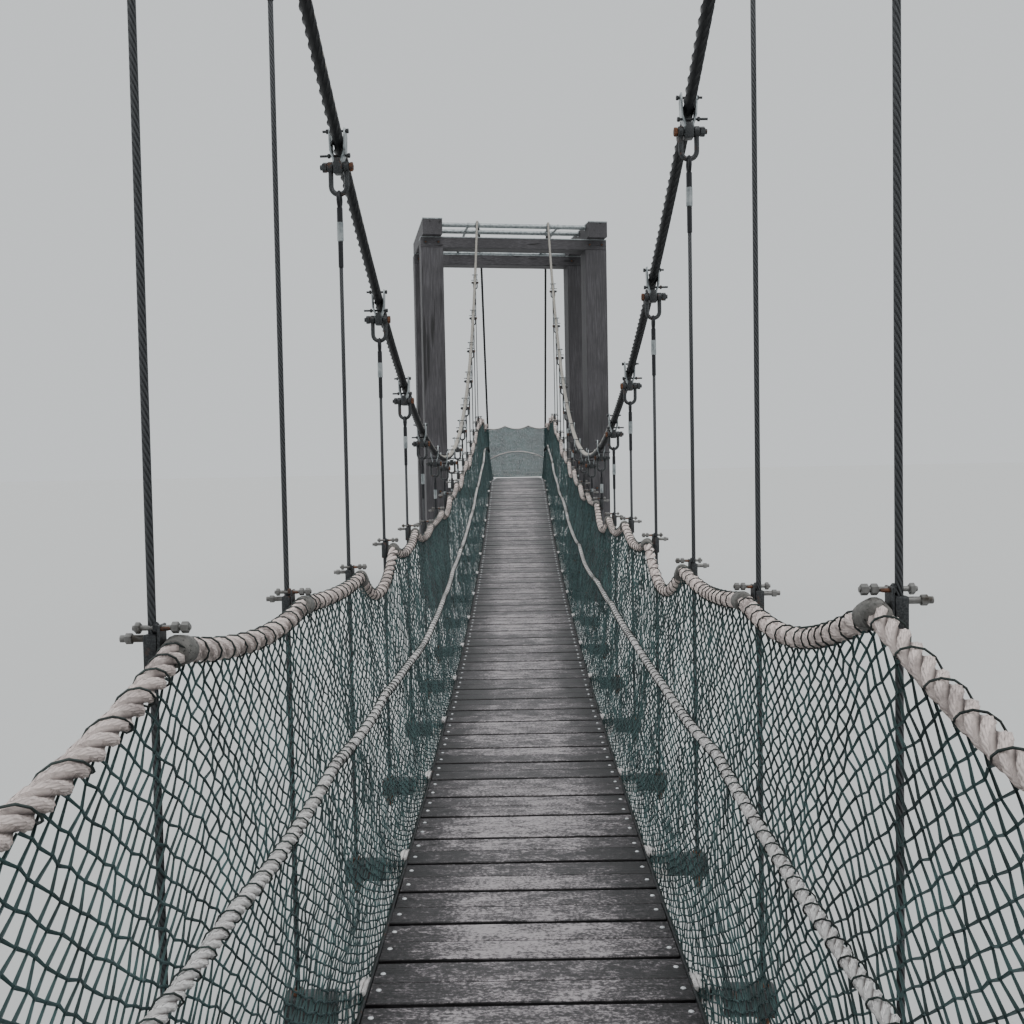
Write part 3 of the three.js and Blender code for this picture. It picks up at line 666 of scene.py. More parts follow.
# A twine wound round a rope; the pitch may change along the way
def windRound(name, points, distance, pitchAt, radius, stepsPerTurn, way):
    path, travelled = evenPath(points, 0.01)
    pitches = np.array([pitchAt(length) for length in travelled])
    turns = np.concatenate([[0], np.cumsum(np.diff(travelled) / pitches[1:])])
    count = int(turns[-1] * stepsPerTurn) + 1
    wanted = np.interp(np.linspace(0, turns[-1], count), turns, travelled)
    centre = pointsAlong(path, travelled, wanted)
    across, out = pathFrames(centre)
    spin = way * 2 * math.pi * np.interp(wanted, travelled, turns)
    winding = centre + distance * (np.cos(spin)[:, None] * across + np.sin(spin)[:, None] * out)
    return plainTube(name, winding, "lashing", radius, 3)


# Turns round a square with rounded corners, in steps: the share passed, and how far across and out it lies
def squareTurns(turns, steps):
    for step in range(turns * steps + 1):
        share = step / (turns * steps)
        spin = share * turns * 2 * math.pi
        reach = 1 / (abs(math.cos(spin)) ** 6 + abs(math.sin(spin)) ** 6) ** (1 / 6)
        yield share, reach * math.cos(spin), reach * math.sin(spin)


print("helpers ready")


# Camera
cameraView = {"place": (-0.01, -10.45, 2.84), "turnLeft": 0.32, "lookDown": 2.3, "roll": -1.1, "lens": 36.56}


def makeCamera():
    data = bpy.data.cameras.new("photoView")
    data.sensor_width = 36
    data.lens = cameraView["lens"]
    data.clip_start = 0.05
    data.clip_end = 2500
    camera = bpy.data.objects.new("photoView", data)
    bpy.context.scene.collection.objects.link(camera)
    turn = (Matrix.Rotation(math.radians(cameraView["turnLeft"]), 4, "Z")
            @ Matrix.Rotation(math.radians(90 - cameraView["lookDown"]), 4, "X")
            @ Matrix.Rotation(math.radians(cameraView["roll"]), 4, "Z"))
    camera.matrix_world = Matrix.Translation(cameraView["place"]) @ turn
    bpy.context.scene.camera = camera


makeCamera()
print("camera set")


# Deck boards: pairs of planks with a gap between pairs, dark from the painted shade on the boards' sides,
# one dome head bolt at each end
boardSizes = {"halfLength": 0.4985, "width": 0.1368, "thick": 0.036, "edge": 0.0045, "pairPitch": 0.3004,
              "halfMidGap": 0.0011, "kinds": 6, "cuts": ((-0.31, 0.02), (-0.1, 0), (0.12, 0), (0.3, -0.02)),
              "waver": 0.0011, "cup": 0.012, "dent": 0.0008, "rough": 0.0012}
boardPlay = {"end": 0.002, "tilt": 0.003, "skew": 0.0012, "slopeOver": 0.1}
boltSizes = {"radius": 0.0095, "fromEnd": 0.026, "flat": 0.5, "cutAt": 0.0005, "sunk": 0.0012, "stray": 0.018}
deckParts = {"near": -10.378, "middle": -3.4688, "far": 3.4404}
deckPairs = 23


# Boards, each a little wavy, cupped and dented, with one end cut unevenly
def makeBoardKinds():
    kinds = []
    s = boardSizes
    for kind in range(s["kinds"]):
        board = startBlock((-s["halfLength"], -s["width"] / 2, -s["thick"]),
                           (s["halfLength"], s["width"] / 2, 0))
        softenLongEdges(board, 0, s["edge"])
        cutAcross(board, [place + shift * dice.random() if shift else place for place, shift in s["cuts"]], 0)
        for point in board.data.vertices:
            point.co.y += s["waver"] * math.sin(7 * point.co.x + 2 * kind) * dice.random()
            point.co.z -= abs(point.co.y) * s["cup"] + s["dent"] * dice.random()
            point.co.x += s["rough"] * dice.random() * (1 if point.co.x > 0.4 else 0)
        kinds.append(coat(board, "decking"))
    return kinds


def makeDomeBolt():
    s = boltSizes
    bpy.ops.object.select_all(action="DESELECT")
    bpy.ops.mesh.primitive_uv_sphere_add(segments=10, ring_count=6, radius=s["radius"])
    dome = bpy.context.object
    bpy.ops.object.mode_set(mode="EDIT")
    bpy.ops.mesh.select_all(action="SELECT")
    bpy.ops.mesh.bisect(plane_co=(0, 0, s["cutAt"]), plane_no=(0, 0, 1), clear_inner=True, use_fill=True)
    bpy.ops.object.mode_set(mode="OBJECT")
    for point in dome.data.vertices:
        point.co.z = (point.co.z - s["cutAt"]) * s["flat"]
    bpy.ops.object.shade_smooth()
    return coat(dome, "screw")


def boardPlaces(start, pairs):
    s = boardSizes
    for pair in range(pairs):
        middle = start + (pair + 0.5) * s["pairPitch"]
        for side in (-1, 1):
            yield middle + side * (s["width"] / 2 + s["halfMidGap"])


def layBoards(name, start, pairs, topAt):
    laid = []
    bolts = []
    for y in boardPlaces(start, pairs):
        over = boardPlay["slopeOver"]
        slope = math.atan2(topAt(y + over / 2) - topAt(y - over / 2), over)
        seat = (Matrix.Translation((dice.uniform(-1, 1) * boardPlay["end"], y, topAt(y)))
                @ Matrix.Rotation(slope + dice.uniform(-1, 1) * boardPlay["tilt"], 4, "X")
                @ Matrix.Rotation(dice.uniform(-1, 1) * boardPlay["skew"], 4, "Z"))
        flip = Matrix.Rotation(math.pi * dice.randrange(2), 4, "Z")
        board = copyAt(boardKinds[dice.randrange(len(boardKinds))], seat @ flip)
        tone = board.data.attributes.new("boardTone", "FLOAT", "POINT")
        tone.data.foreach_set("value", [dice.random()] * len(board.data.vertices))
        laid.append(board)
        for side in (-1, 1):
            x = side * (boardSizes["halfLength"] - boltSizes["fromEnd"])
            spot = (x, dice.uniform(-boltSizes["stray"], boltSizes["stray"]), -boltSizes["sunk"])
            bolts.append(copyAt(domeBolt, seat @ Matrix.Translation(spot)))
    return joined(laid, name), joined(bolts, name + "Bolts")


boardKinds = makeBoardKinds()
domeBolt = makeDomeBolt()
for deckPart, start in deckParts.items():
    boardsHere, boltsHere = layBoards("deckBoards" + deckPart.title(), start, deckPairs, deckTop)
    settle(boardsHere, "deck_boards", "deck_boards_" + deckPart)
    settle(boltsHere, "zinc_steel")
for side in ("left", "right"):
    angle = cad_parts["edge_angle_" + side]
    angle.material_slots[0].material = finishes["darkSteel"]
print("deck laid")


# Ropes: hand ropes in scallops, smaller ropes inside the nets, all lashed with twine
handRopeLook = {"strands": 3, "lay": 0.18, "perStrand": 4, "stepsPerTurn": 10, "fill": 0.48, "perBay": 14,
                "swell": 0.001, "sway": 0.004, "swayAt": 5.1}
midRopeLook = {"strands": 3, "lay": 0.124, "perStrand": 3, "stepsPerTurn": 9, "fill": 0.54, "perBay": 8,
               "swell": 0.0005, "sway": 0.003, "swayAt": 2.3, "rise": 0.006, "riseAt": 3.1}
handLashing = {"pitch": 0.088, "endPitch": 0.13, "endLength": 4.8, "uneven": 0.42, "radius": 0.0027,
               "off": 0.0016}
midLashing = {"pitch": 0.082, "uneven": 0.4, "radius": 0.0024, "off": 0.002}
postBend = {"from": 12.2, "over": 0.9}


def scallopPlaces(perBay):
    places = [-ropeLine["end"]]
    for before, after in zip(supports, supports[1:]):
        parts = int(round(perBay * (after - before) / bay))
        places += [before + (after - before) * part / parts for part in range(parts)]
    return places + [supports[-1], ropeLine["end"]]


# How far out a half-height rope lies, against the inside of the net
def midRopePlace(side, y):
    foot = deckTop(y) - netLine["footDrop"]
    flare = (ropeLine["x"] - netLine["foot"]) / (netHead(side, y) - foot)
    onNet = netLine["foot"] + flare * (midRopeHeight(side, y) - foot)
    return onNet - midLine["r"] * midLine["lashedShare"] - midLine["clear"]


# Past the last hanger a half-height rope leaves the net's inside for the end post
def towardPost(side, y):
    share = min(1, max(0, (abs(y) - postBend["from"]) / postBend["over"]))
    postInner = ropeLine["x"] + ropeLine["r"]
    return share ** 2 * (3 - 2 * share) * (postInner - midLine["r"] - midRopePlace(side, y))


# The lashing lies looser over the near landing, the first stretch of each rope, than further along
def handPitchAt(side, length):
    base = handLashing["pitch"] if length > handLashing["endLength"] else handLashing["endPitch"]
    return base * (1 + handLashing["uneven"] * math.sin(1.9 * length + side) * math.sin(7.3 * length + 1))


def midPitchAt(side, length):
    wave = math.sin(1.3 * length) * math.sin(8.1 * length + side)
    return midLashing["pitch"] * (1 + midLashing["uneven"] * wave)


def handRopeSpot(side, y):
    look = handRopeLook
    x = ropeLine["x"] + look["sway"] * math.sin(look["swayAt"] * y + 0.3 + side)
    return (side * x, y, handRopeHeight(side, y))


def midRopeSpot(side, y):
    look = midRopeLook
    wander = 0.3 + side
    x = midRopePlace(side, y) - look["sway"] + look["sway"] * math.sin(look["swayAt"] * y + wander)
    z = midRopeHeight(side, y) + look["rise"] * math.sin(look["riseAt"] * y + 2 * wander)
    return (side * (x + towardPost(side, y)), y, z)


for name, side in (("Left", -1), ("Right", 1)):
    hand = [handRopeSpot(side, y) for y in scallopPlaces(handRopeLook["perBay"])]
    mid = [midRopeSpot(side, y) for y in scallopPlaces(midRopeLook["perBay"])]
    rope = laidRope("handRope" + name, hand, "rope", ropeLine["r"] + handRopeLook["swell"], handRopeLook)
    settle(rope, "natural_rope", "hand_rope_" + name.lower())
    rope = laidRope("midRope" + name, mid, "paleRope", midLine["r"] + midRopeLook["swell"], midRopeLook)
    settle(rope, "natural_rope", "mid_rope_" + name.lower())
    twine = windRound("handRopeLashing" + name, hand, ropeLine["r"] + handLashing["off"],
                      lambda length: handPitchAt(side, length), handLashing["radius"], 10, -side)
    settle(twine, "net_twine")
    twine = windRound("midRopeLashing" + name, mid, midLine["r"] + midLashing["off"],
                      lambda length: midPitchAt(side, length), midLashing["radius"], 9, -side)
    settle(twine, "net_twine")
print("ropes laid")


# Main cables: six strands, over both towers and down to the anchor blocks
cableLook = {"strands": 6, "lay": 0.342, "perStrand": 2, "stepsPerTurn": 12, "fill": 0.76, "swell": 0.001,
             "sagStep": 0.3}
pipeSizes = {"r": 0.045, "clear": 0.0025, "second": 12.1, "third": (13.5, 7.765)}


# How far the cable's middle lies from a saddle pipe's, its climb to the first pipe, and the three pipes
def saddlePlaces():
    reach = pipeSizes["r"] + cableLine["r"] + pipeSizes["clear"]
    tangent = cableLine["tangent"]
    climb = math.atan(math.sinh(tangent / cableLine["scale"]))
    first = (tangent + reach * math.sin(climb), cableCurve(tangent) - reach * math.cos(climb))
    return reach, climb, first, (pipeSizes["second"], first[1]), pipeSizes["third"]


# The cable from the middle of the bridge over the far tower's pipes to its anchor
def cableHalf():
    reach, climb, first, second, third = saddlePlaces()
    dip = math.atan2(third[1] - second[1], third[0] - second[0])
    places = [(y, cableCurve(y)) for y in np.arange(0, cableLine["tangent"] - 0.05, cableLook["sagStep"])]
    bends = ((first, climb, 0, 8), (second, 0, dip, 2), (third, dip, -cableLine["stay"], 10))
    for pipe, fromAngle, toAngle, steps in bends:
        for step in range(steps + 1):
            angle = fromAngle + (toAngle - fromAngle) * step / steps
            places.append((pipe[0] - reach * math.sin(angle), pipe[1] + reach * math.cos(angle)))
    lastY, lastZ = places[-1]
    places.append((lastY + (lastZ - cableLine["end"]) / math.tan(cableLine["stay"]), cableLine["end"]))
    return places


for name, side in (("Left", -1), ("Right", 1)):
    half = cableHalf()
    places = [(-y, z) for y, z in half[:0:-1]] + half
    line = [(side * cableLine["x"], y + side * cableLine["shift"], z) for y, z in places]
    cable = laidRope("mainCable" + name, line, "cable", cableLine["r"] + cableLook["swell"], cableLook)
    settle(cable, "wire_rope", "main_cable_" + name.lower())
print("cables hung")


# Nets: knotted diamonds, drawn tight from the cross-beams up to the hand ropes, closer towards the foot
netLook = {"pitch": 0.0328, "rows": 70, "twine": 0.0025, "knot": 0.0037, "jitter": 0.0042}
twineEdge = (0.93, 0.1, 0.35)
netHang = {"gather": 1.35, "tuck": 0.01, "belly": 0.03, "bellyTop": 0.12, "underRope": 0.021, "lean": 0.5,
           "leanFrom": 1.2, "wave": 0.012, "ripple": 0.006, "pull": 0.013, "droop": 0.01}
footRopeSizes = {"in": 0.0125, "up": 0.008, "r": 0.008, "step": 0.3}


# A diamond mesh of slim three-edged twines, each thick where it leaves a knot and thin at the next
def knottedNet(name, columns, rows, spotAt, look, finish):
    shake = np.random.default_rng(5)
    spots = np.zeros((columns + 1, rows + 1, 3))
    knots = [(i, j) for i in range(columns + 1) for j in range(rows + 1) if (i + j) % 2 == 0]
    for i, j in knots:
        spots[i, j] = spotAt(i / columns, j / rows)
    stray = shake.uniform(-1, 1, spots.shape) * look["jitter"]
    stray[[0, -1]] = 0
    stray[:, [0, -1]] = 0
    spots += stray
    pairs = [((i, j), (i + 1, k)) for i, j in knots for k in (j - 1, j + 1) if i < columns and 0 <= k <= rows]
    starts = np.array([spots[start] for start, _ in pairs])
    ends = np.array([spots[end] for _, end in pairs])
    along = ends - starts
    along /= np.linalg.norm(along, axis=1)[:, None]
    side = np.cross(along, [twineEdge])
    side /= np.linalg.norm(side, axis=1)[:, None]
    out = np.cross(along, side)
    angles = np.array([0, 2, 4]) * math.pi / 3
    corner = np.cos(angles)[None, :, None] * side[:, None] + np.sin(angles)[None, :, None] * out[:, None]
    thick, thin = starts[:, None] + look["knot"] * corner, ends[:, None] + look["twine"] * corner
    first = np.arange(len(starts))[:, None, None] * 6
    quads = np.array([[0, 1, 4, 3], [2, 0, 3, 5]])
    points = np.concatenate([thick, thin], axis=1).reshape(-1, 3)
    return meshPiece(name, points, (first + quads[None]).reshape(-1, 4).tolist(), finish)


# Where a knot of a side net lies, from its share of the net's length and of its rows
def sideNetSpot(side, fromY, toY, share, place):
    s = netHang
    height = place ** s["gather"]
    y = fromY + (toY - fromY) * share
    y += s["lean"] * (height - 0.5) * min(1, abs(y) / s["leanFrom"], (netEnd - abs(y)) / s["leanFrom"])
    foot = deckTop(y) - netLine["footDrop"]
    head = handRopeHeight(side, y) - s["underRope"]
    arch = math.sin(math.pi * height)
    swing = s["wave"] * arch * math.sin(2.6 * y + side) + s["ripple"] * math.sin(9 * y + 5 * height)
    x = netLine["foot"] + (ropeLine["x"] - netLine["foot"]) * height + swing * arch
    low = 1 - min(1, height / s["bellyTop"])
    x += s["belly"] * (1 - low ** 2) * (1 - height) ** 3 - s["tuck"] * low ** 4
    slack = arch * math.sin(math.pi * share)
    pull = s["pull"] * slack * math.sin(3.7 * y + 4 * height + side)
    droop = s["droop"] * slack * math.sin(5.3 * y - 3 * height + 2 * side)
    return (side * x, y + pull, foot + (head - foot) * height + droop)


def netFootRope(name, side):
    s = footRopeSizes
    line = [(side * (netLine["foot"] - s["in"]), y, deckTop(y) - netLine["footDrop"] + s["up"])
            for y in np.arange(-netEnd, netEnd + 0.01, s["step"])]
    return plainTube(name, line, "lashing", s["r"], 6)


for name, side in (("Left", -1), ("Right", 1)):
    for half, fromY, toY in (("Near", -netEnd, 0), ("Far", 0, netEnd)):
        columns = int(round((toY - fromY) / netLook["pitch"] / 2)) * 2
        net = knottedNet("sideNet" + name + half, columns, netLook["rows"],
                         lambda share, place: sideNetSpot(side, fromY, toY, share, place), netLook, "net")
        settle(net, "net_twine", f"side_net_{name.lower()}_{half.lower()}")
    settle(netFootRope("netFootRope" + name, side), "net_twine")
print("nets tied")


# Hanger frames: a cross-beam under the deck, a wire rope each side, its clamp and shackle, the rope bracket
frameSizes = {"beamHalf": 0.78, "beam": 0.08, "beamDrop": 0.0446, "arris": 0.007, "hangerX": 0.74,
              "hangerR": 0.0083, "hangerLap": 0.004, "hangerStep": 0.5, "swing": 7}
beamFittings = {"cap": 0.005, "capIn": 0.0025, "capLap": 0.001, "plateHalf": 0.034, "plate": 0.006,
                "rodR": 0.0115, "tail": 0.06, "nuts": ((-0.006, -0.026, 0.0215), (-0.026, -0.042, 0.0205)),
                "topNut": (-0.001, 0.017, 0.0215), "cleat": (0.43, 0.495, 0.03, -0.0005, -0.012),
                "edge": 0.001}
clampSizes = {"plateIn": 0.0275, "plateThick": 0.008, "plateHalf": 0.027, "top": 0.06, "bottom": -0.118,
              "cuts": (-0.035, -0.075, 0.03), "bentTo": -0.03, "bend": 0.002, "squeezeTo": -0.06,
              "squeeze": 0.015, "endShare": 0.62, "edge": 0.0015}
shackleSizes = {"r": 0.034, "rod": 0.011, "bowZ": -0.18, "pinZ": -0.1, "legEnd": -0.112, "bossHalf": 0.012,
                "bossR": 0.023, "bossEdge": 0.003, "lug": ((-0.02, -0.026, -0.13), (0.02, 0.026, -0.064)),
                "lugEdge": 0.006}
eyeSizes = {"z": -0.24, "r": 0.024, "rod": 0.0085, "stretch": 1.35, "taper": 14, "narrowest": 0.42,
            "stem": (-0.27, -0.334, 0.0125), "sleeve": (-0.33, -0.412, 0.0138),
            "tail": (-0.41, -0.522, 0.0108)}
wrapSizes = {"from": 0.516, "to": 0.606, "rope": 0.0085, "turns": 5, "halfWide": 0.05, "halfHigh": 0.057,
             "lift": 0.012}
sleeveSizes = {"r": 0.0296, "steps": (-0.026, 0, 0.02, 0.044)}

# Threaded rods along x, outwards is +x; a nut has its two ends, its radius and its finish
cableBoltNuts = ((-0.049, -0.038, 0.01045, "darkSteel"), (0.0365, 0.047, 0.01045, "darkSteel"))
clampStuds = (
    {"y": 0.012, "z": 0.046, "reach": (-0.046, 0.062), "r": 0.0055, "sides": 8, "finish": "darkSteel",
     "nuts": cableBoltNuts},
    {"y": -0.008, "z": -0.05, "reach": (-0.046, 0.08), "r": 0.0055, "sides": 8, "finish": "darkSteel",
     "nuts": cableBoltNuts},
    {"y": 0, "z": -0.1, "reach": (-0.062, 0.078), "r": 0.0115, "sides": 10, "finish": "darkSteel",
     "nuts": ((-0.062, -0.047, 0.02, "rust"), (0.047, 0.069, 0.0215, "darkSteel"))},
)
bracketStuds = (
    {"y": 0.004, "z": 0.044, "reach": (-0.028, 0.087), "r": 0.0055, "sides": 10, "finish": "fitting",
     "nuts": ((-0.025, -0.01, 0.0118, "fitting"), (-0.005, 0.009, 0.0118, "fitting"),
              (0.036, 0.045, 0.0118, "darkSteel"), (0.071, 0.082, 0.0118, "fitting"))},
    {"y": -0.004, "z": 0.022, "reach": (0.03, 0.115), "r": 0.0075, "sides": 10, "finish": "fitting",
     "nuts": ((0.09, 0.105, 0.0112, "fitting"),)},
)
bracketFlats = {
    "wedge": {"low": (0.011, -0.013, 0.039), "high": (0.032, 0.017, 0.0465), "edge": (0.003, 1),
              "finish": "rust"},
    "plate": {"low": (0.0285, -0.021, -0.054), "high": (0.0345, 0.021, 0.0505), "edge": (0.0015, 1),
              "finish": "darkSteel"},
    "socket": {"low": (0.036, -0.019, -0.052), "high": (0.064, 0.019, 0.032), "edge": (0.004, 2),
               "finish": "darkSteel"},
}


def makeNut(start, end, radius, finish):
    return coat(softenRims(startRod(start, end, radius, 6), radius * 0.12), finish)


def makeFlat(low, high, edge, finish, segments=1):
    return coat(softenEdges(startBlock(low, high), edge, segments), finish)


def makeStud(stud):
    y, z = stud["y"], stud["z"]
    start, stop = stud["reach"]
    parts = [coat(startRod((start, y, z), (stop, y, z), stud["r"], stud["sides"]), stud["finish"])]
    for start, stop, radius, finish in stud["nuts"]:
        parts.append(makeNut((start, y, z), (stop, y, z), radius, finish))
    return parts


def startRing(radius, rod, segments, turn):
    bpy.ops.object.select_all(action="DESELECT")
    bpy.ops.mesh.primitive_torus_add(major_radius=radius, minor_radius=rod, major_segments=segments,
                                     minor_segments=8, rotation=turn)
    return applyPlace()


# One of the two plates that grip the cable, squeezed together under it and narrower at both ends
def makeClampPlate(side):
    s = clampSizes
    plate = startBlock((s["plateIn"], -s["plateHalf"], s["bottom"]),
                       (s["plateIn"] + s["plateThick"], s["plateHalf"], s["top"]))
    cutAcross(plate, s["cuts"], 2)
    for point in plate.data.vertices:
        if point.co.z < s["squeezeTo"]:
            point.co.x -= s["squeeze"]
        elif point.co.z < s["bentTo"]:
            point.co.x -= s["bend"]
        if point.co.z > s["top"] - 0.001 or point.co.z < s["bottom"] + 0.001:
            point.co.y *= s["endShare"]
    softenEdges(plate, s["edge"])
    if side < 0:
        plate.data.transform(Matrix.Rotation(math.pi, 4, "Z"))
    return coat(plate, "zinc")


def makeShackle():
    s = shackleSizes
    bow = startRing(s["r"], s["rod"], 20, (math.pi / 2, 0, 0))
    bpy.ops.object.mode_set(mode="EDIT")
    bpy.ops.mesh.select_all(action="SELECT")
    bpy.ops.mesh.bisect(plane_co=(0, 0, 0), plane_no=(0, 0, 1), clear_outer=True)
    bpy.ops.object.mode_set(mode="OBJECT")
    bow.data.transform(Matrix.Translation((0, 0, s["bowZ"])))
    parts = [bow]
    for side in (-1, 1):
        x = side * s["r"]
        parts.append(startRod((x, 0, s["bowZ"]), (x, 0, s["legEnd"]), s["rod"], 8))
        boss = startRod((x - s["bossHalf"], 0, s["pinZ"]), (x + s["bossHalf"], 0, s["pinZ"]), s["bossR"], 12)
        parts.append(softenRims(boss, s["bossEdge"]))
    parts.append(softenEdges(startBlock(*s["lug"]), s["lugEdge"], 2))
    return [coat(part, "darkSteel") for part in parts]


# The hanger's end: an eye drawn out to a point, its stem, the pressed sleeve and the wrapped tail
def makeEye():
    s = eyeSizes
    eye = startRing(s["r"], s["rod"], 16, (0, math.pi / 2, 0))
    for point in eye.data.vertices:
        point.co.z = point.co.z * s["stretch"] + s["z"]
        if point.co.z < s["z"]:
            point.co.y *= max(1 - (s["z"] - point.co.z) * s["taper"], s["narrowest"])
    parts = [coat(eye, "hangerWire")]
    for part, sides, edge, finish in (("stem", 10, 0, "hangerWire"), ("sleeve", 14, 0.003, "zinc"),
                                      ("tail", 10, 0.002, "hangerWire")):
        top, end, radius = s[part]
        rod = startRod((0, 0, top), (0, 0, end), radius, sides)
        parts.append(coat(softenRims(rod, edge) if edge else rod, finish))
    return parts


# All that hangs on the cable at one hanger, origin at the cable's middle
def makeHangerTop():
    parts = [makeClampPlate(-1), makeClampPlate(1)]
    for stud in clampStuds:
        parts += makeStud(stud)
    parts += makeShackle() + makeEye()
    smoothRounds(parts)
    return joined(parts, "hangerTop")


# The bracket over a hand rope, origin at the rope's middle
def makeRopeBracket():
    parts = makeStud(bracketStuds[0]) + makeStud(bracketStuds[1])
    for flat in bracketFlats.values():
        edge, segments = flat["edge"]
        parts.append(makeFlat(flat["low"], flat["high"], edge, flat["finish"], segments))
    smoothRounds(parts)
    return joined(parts, "ropeBracket")


# The sleeve under a bracket, bent with the rope
def makeRopeSleeve(side, y):
    line = [(side * ropeLine["x"], y + step, handRopeHeight(side, y + step)) for step in sleeveSizes["steps"]]
    return plainTube("ropeSleeve", line, "sleeve", sleeveSizes["r"], 16)


# The cross-beam with its end caps and cleats, and at each hanger a plate and the nuts on its threaded end
def makeCrossBeam():
    s, f = frameSizes, beamFittings
    half, foot = s["beam"] / 2, -s["beam"]
    beamEnd = s["beamHalf"] - f["cap"] + f["capLap"]
    beam = startBlock((-beamEnd, -half, foot), (beamEnd, half, 0))
    softenLongEdges(beam, 0, s["arris"])
    parts = [coat(beam, "darkSteel")]
    for side in (-1, 1):
        end = side * s["beamHalf"]
        parts.append(makeFlat((end - side * f["cap"], -half + f["capIn"], foot + f["capIn"]),
                              (end, half - f["capIn"], -f["capIn"]), f["edge"], "darkSteel"))
        x = side * s["hangerX"]
        parts.append(makeFlat((x - f["plateHalf"], -f["plateHalf"], foot - f["plate"]),
                              (x + f["plateHalf"], f["plateHalf"], foot), f["edge"], "rust"))
        for start, stop, radius in f["nuts"]:
            parts.append(makeNut((x, 0, foot + start), (x, 0, foot + stop), radius, "rust"))
        parts.append(coat(startRod((x, 0, foot), (x, 0, foot - f["tail"]), f["rodR"], 10), "rust"))
        start, stop, radius = f["topNut"]
        parts.append(makeNut((x, 0, start), (x, 0, stop), radius, "rust"))
        inner, outer, halfLong, start, stop = f["cleat"]
        low, high = (side * inner, -halfLong, start), (side * outer, halfLong, stop)
        parts.append(makeFlat(low, high, f["edge"], "darkSteel"))
    smoothRounds(parts)
    return joined(parts, "crossBeam")


# The rope wound round the cross-beam outside the deck, under the foot of each net
def makeBeamWraps():
    w = wrapSizes
    middle = w["lift"] - frameSizes["beam"] / 2
    wraps = []
    for side in (-1, 1):
        winding = [(side * (w["from"] + (w["to"] - w["from"]) * share), w["halfWide"] * across,
                    middle + w["halfHigh"] * out) for share, across, out in squareTurns(w["turns"], 8)]
        wraps.append(plainTube("beamWrap", winding, "paleRope", w["rope"], 6))
    return joined(wraps, "beamWrapPair")


def seatOfBeam(y):
    s = frameSizes
    before, here, after = (deckTop(place) for place in (y - bay / 2, y, y + bay / 2))
    crown = max(here - (before + after) / 2, 0)
    top = here - s["beamDrop"] - crown * s["beam"] / bay
    return top, Matrix.Translation((0, y, top)) @ Matrix.Rotation(math.atan2(after - before, bay), 4, "X")


def hangFrame(number, y):
    s = frameSizes
    top, beamSeat = seatOfBeam(y)
    parts = [copyAt(crossBeam, beamSeat)]
    for side in (-1, 1):
        x = side * s["hangerX"]
        facing = 0 if side > 0 else math.pi
        turn = Matrix.Rotation(math.radians(dice.uniform(-s["swing"], s["swing"])) + facing, 4, "Z")
        parts.append(copyAt(hangerTop, Matrix.Translation((x, y, cableHeight(side, y))) @ turn))
        seat = Matrix.Translation((side * ropeLine["x"], y, handRopeHeight(side, y)))
        parts.append(copyAt(ropeBracket, seat @ Matrix.Rotation(facing, 4, "Z")))
        parts.append(makeRopeSleeve(side, y))
        low, high = top - s["beam"], cableHeight(side, y) + eyeSizes["sleeve"][1] + s["hangerLap"]
        steps = max(int((high - low) / s["hangerStep"]), 1)
        line = [(x, y, low + (high - low) * step / steps) for step in range(steps + 1)]
        parts.append(plainTube("hanger", line, "hangerWire", s["hangerR"], 10))
    settle(joined(parts, f"hangerFrame{number:02d}"), "dark_steel", f"hanger_frame_{number:02d}")
    return copyAt(beamWrapPair, beamSeat)


hangerTop = makeHangerTop()
ropeBracket = makeRopeBracket()
crossBeam = makeCrossBeam()
beamWrapPair = makeBeamWraps()
beamWraps = [hangFrame(number, y) for number, y in enumerate(stations, 1)]
settle(joined(beamWraps, "beamWraps"), "natural_rope")
print("hanger frames hung")


# Towers: heavy square timbers, bolted, with zinc cappings and the pipes that the cables lie on
towerSizes = {"post": 0.46, "postX": 1.73, "head": (7.44, 7.67), "headDepth": 0.4, "arris": 0.016,
              "bearerDrop": 0.1883, "bearerHigh": 0.2, "bearerDepth": 0.2, "bearerArris": 0.014,
              "bearerLap": 0.03, "headBolts": (1.6, 1.86), "bearerBolts": (0.05, 0.15), "boltIn": 0.06}
cappingSizes = {"past": 0.003, "over": 0.004, "drop": 0.018, "up": 0.0001, "edge": 0.002}
sideBeamSizes = {"from": 11.2, "to": 13.68, "high": 0.33, "width": 0.4, "seat": 0.0003, "over": 0.004,
                 "drop": 0.022, "up": 0.0015}
washerSizes = {"half": 0.035, "thick": 0.006, "edge": 0.0015, "nut": (0.006, 0.024, 0.019),
               "stub": (0.02, 0.038, 0.0095)}
saddleSizes = {"inBeams": 0.06, "edge": 0.002, "strapX": 0.95, "strap": (0.025, 0.006),
               "cableRing": (0.056, 0.012), "cableRingAt": 0.04, "endRing": (0.066, 0.012),
               "endRingIn": 0.066, "strapRing": (0.051, 0.056)}


# A square timber with rounded arrises, a little uneven between its ends
def makeTimber(low, high, grainAxis, finish, arris):
    timber = startBlock(low, high)
    softenLongEdges(timber, grainAxis, arris)
    cuts, hollow = 8, 0.004
    start, end = low[grainAxis], high[grainAxis]
    cutAcross(timber, [start + (end - start) * (cut + 0.5) / cuts for cut in range(cuts)], grainAxis)
    for point in timber.data.vertices:
        if min(abs(point.co[grainAxis] - start), abs(point.co[grainAxis] - end)) > 1e-4:
            for axis in range(3):
                if axis != grainAxis:
                    outward = 1 if point.co[axis] > (low[axis] + high[axis]) / 2 else -1
                    point.co[axis] -= hollow * dice.random() * outward
    return coat(timber, finish)


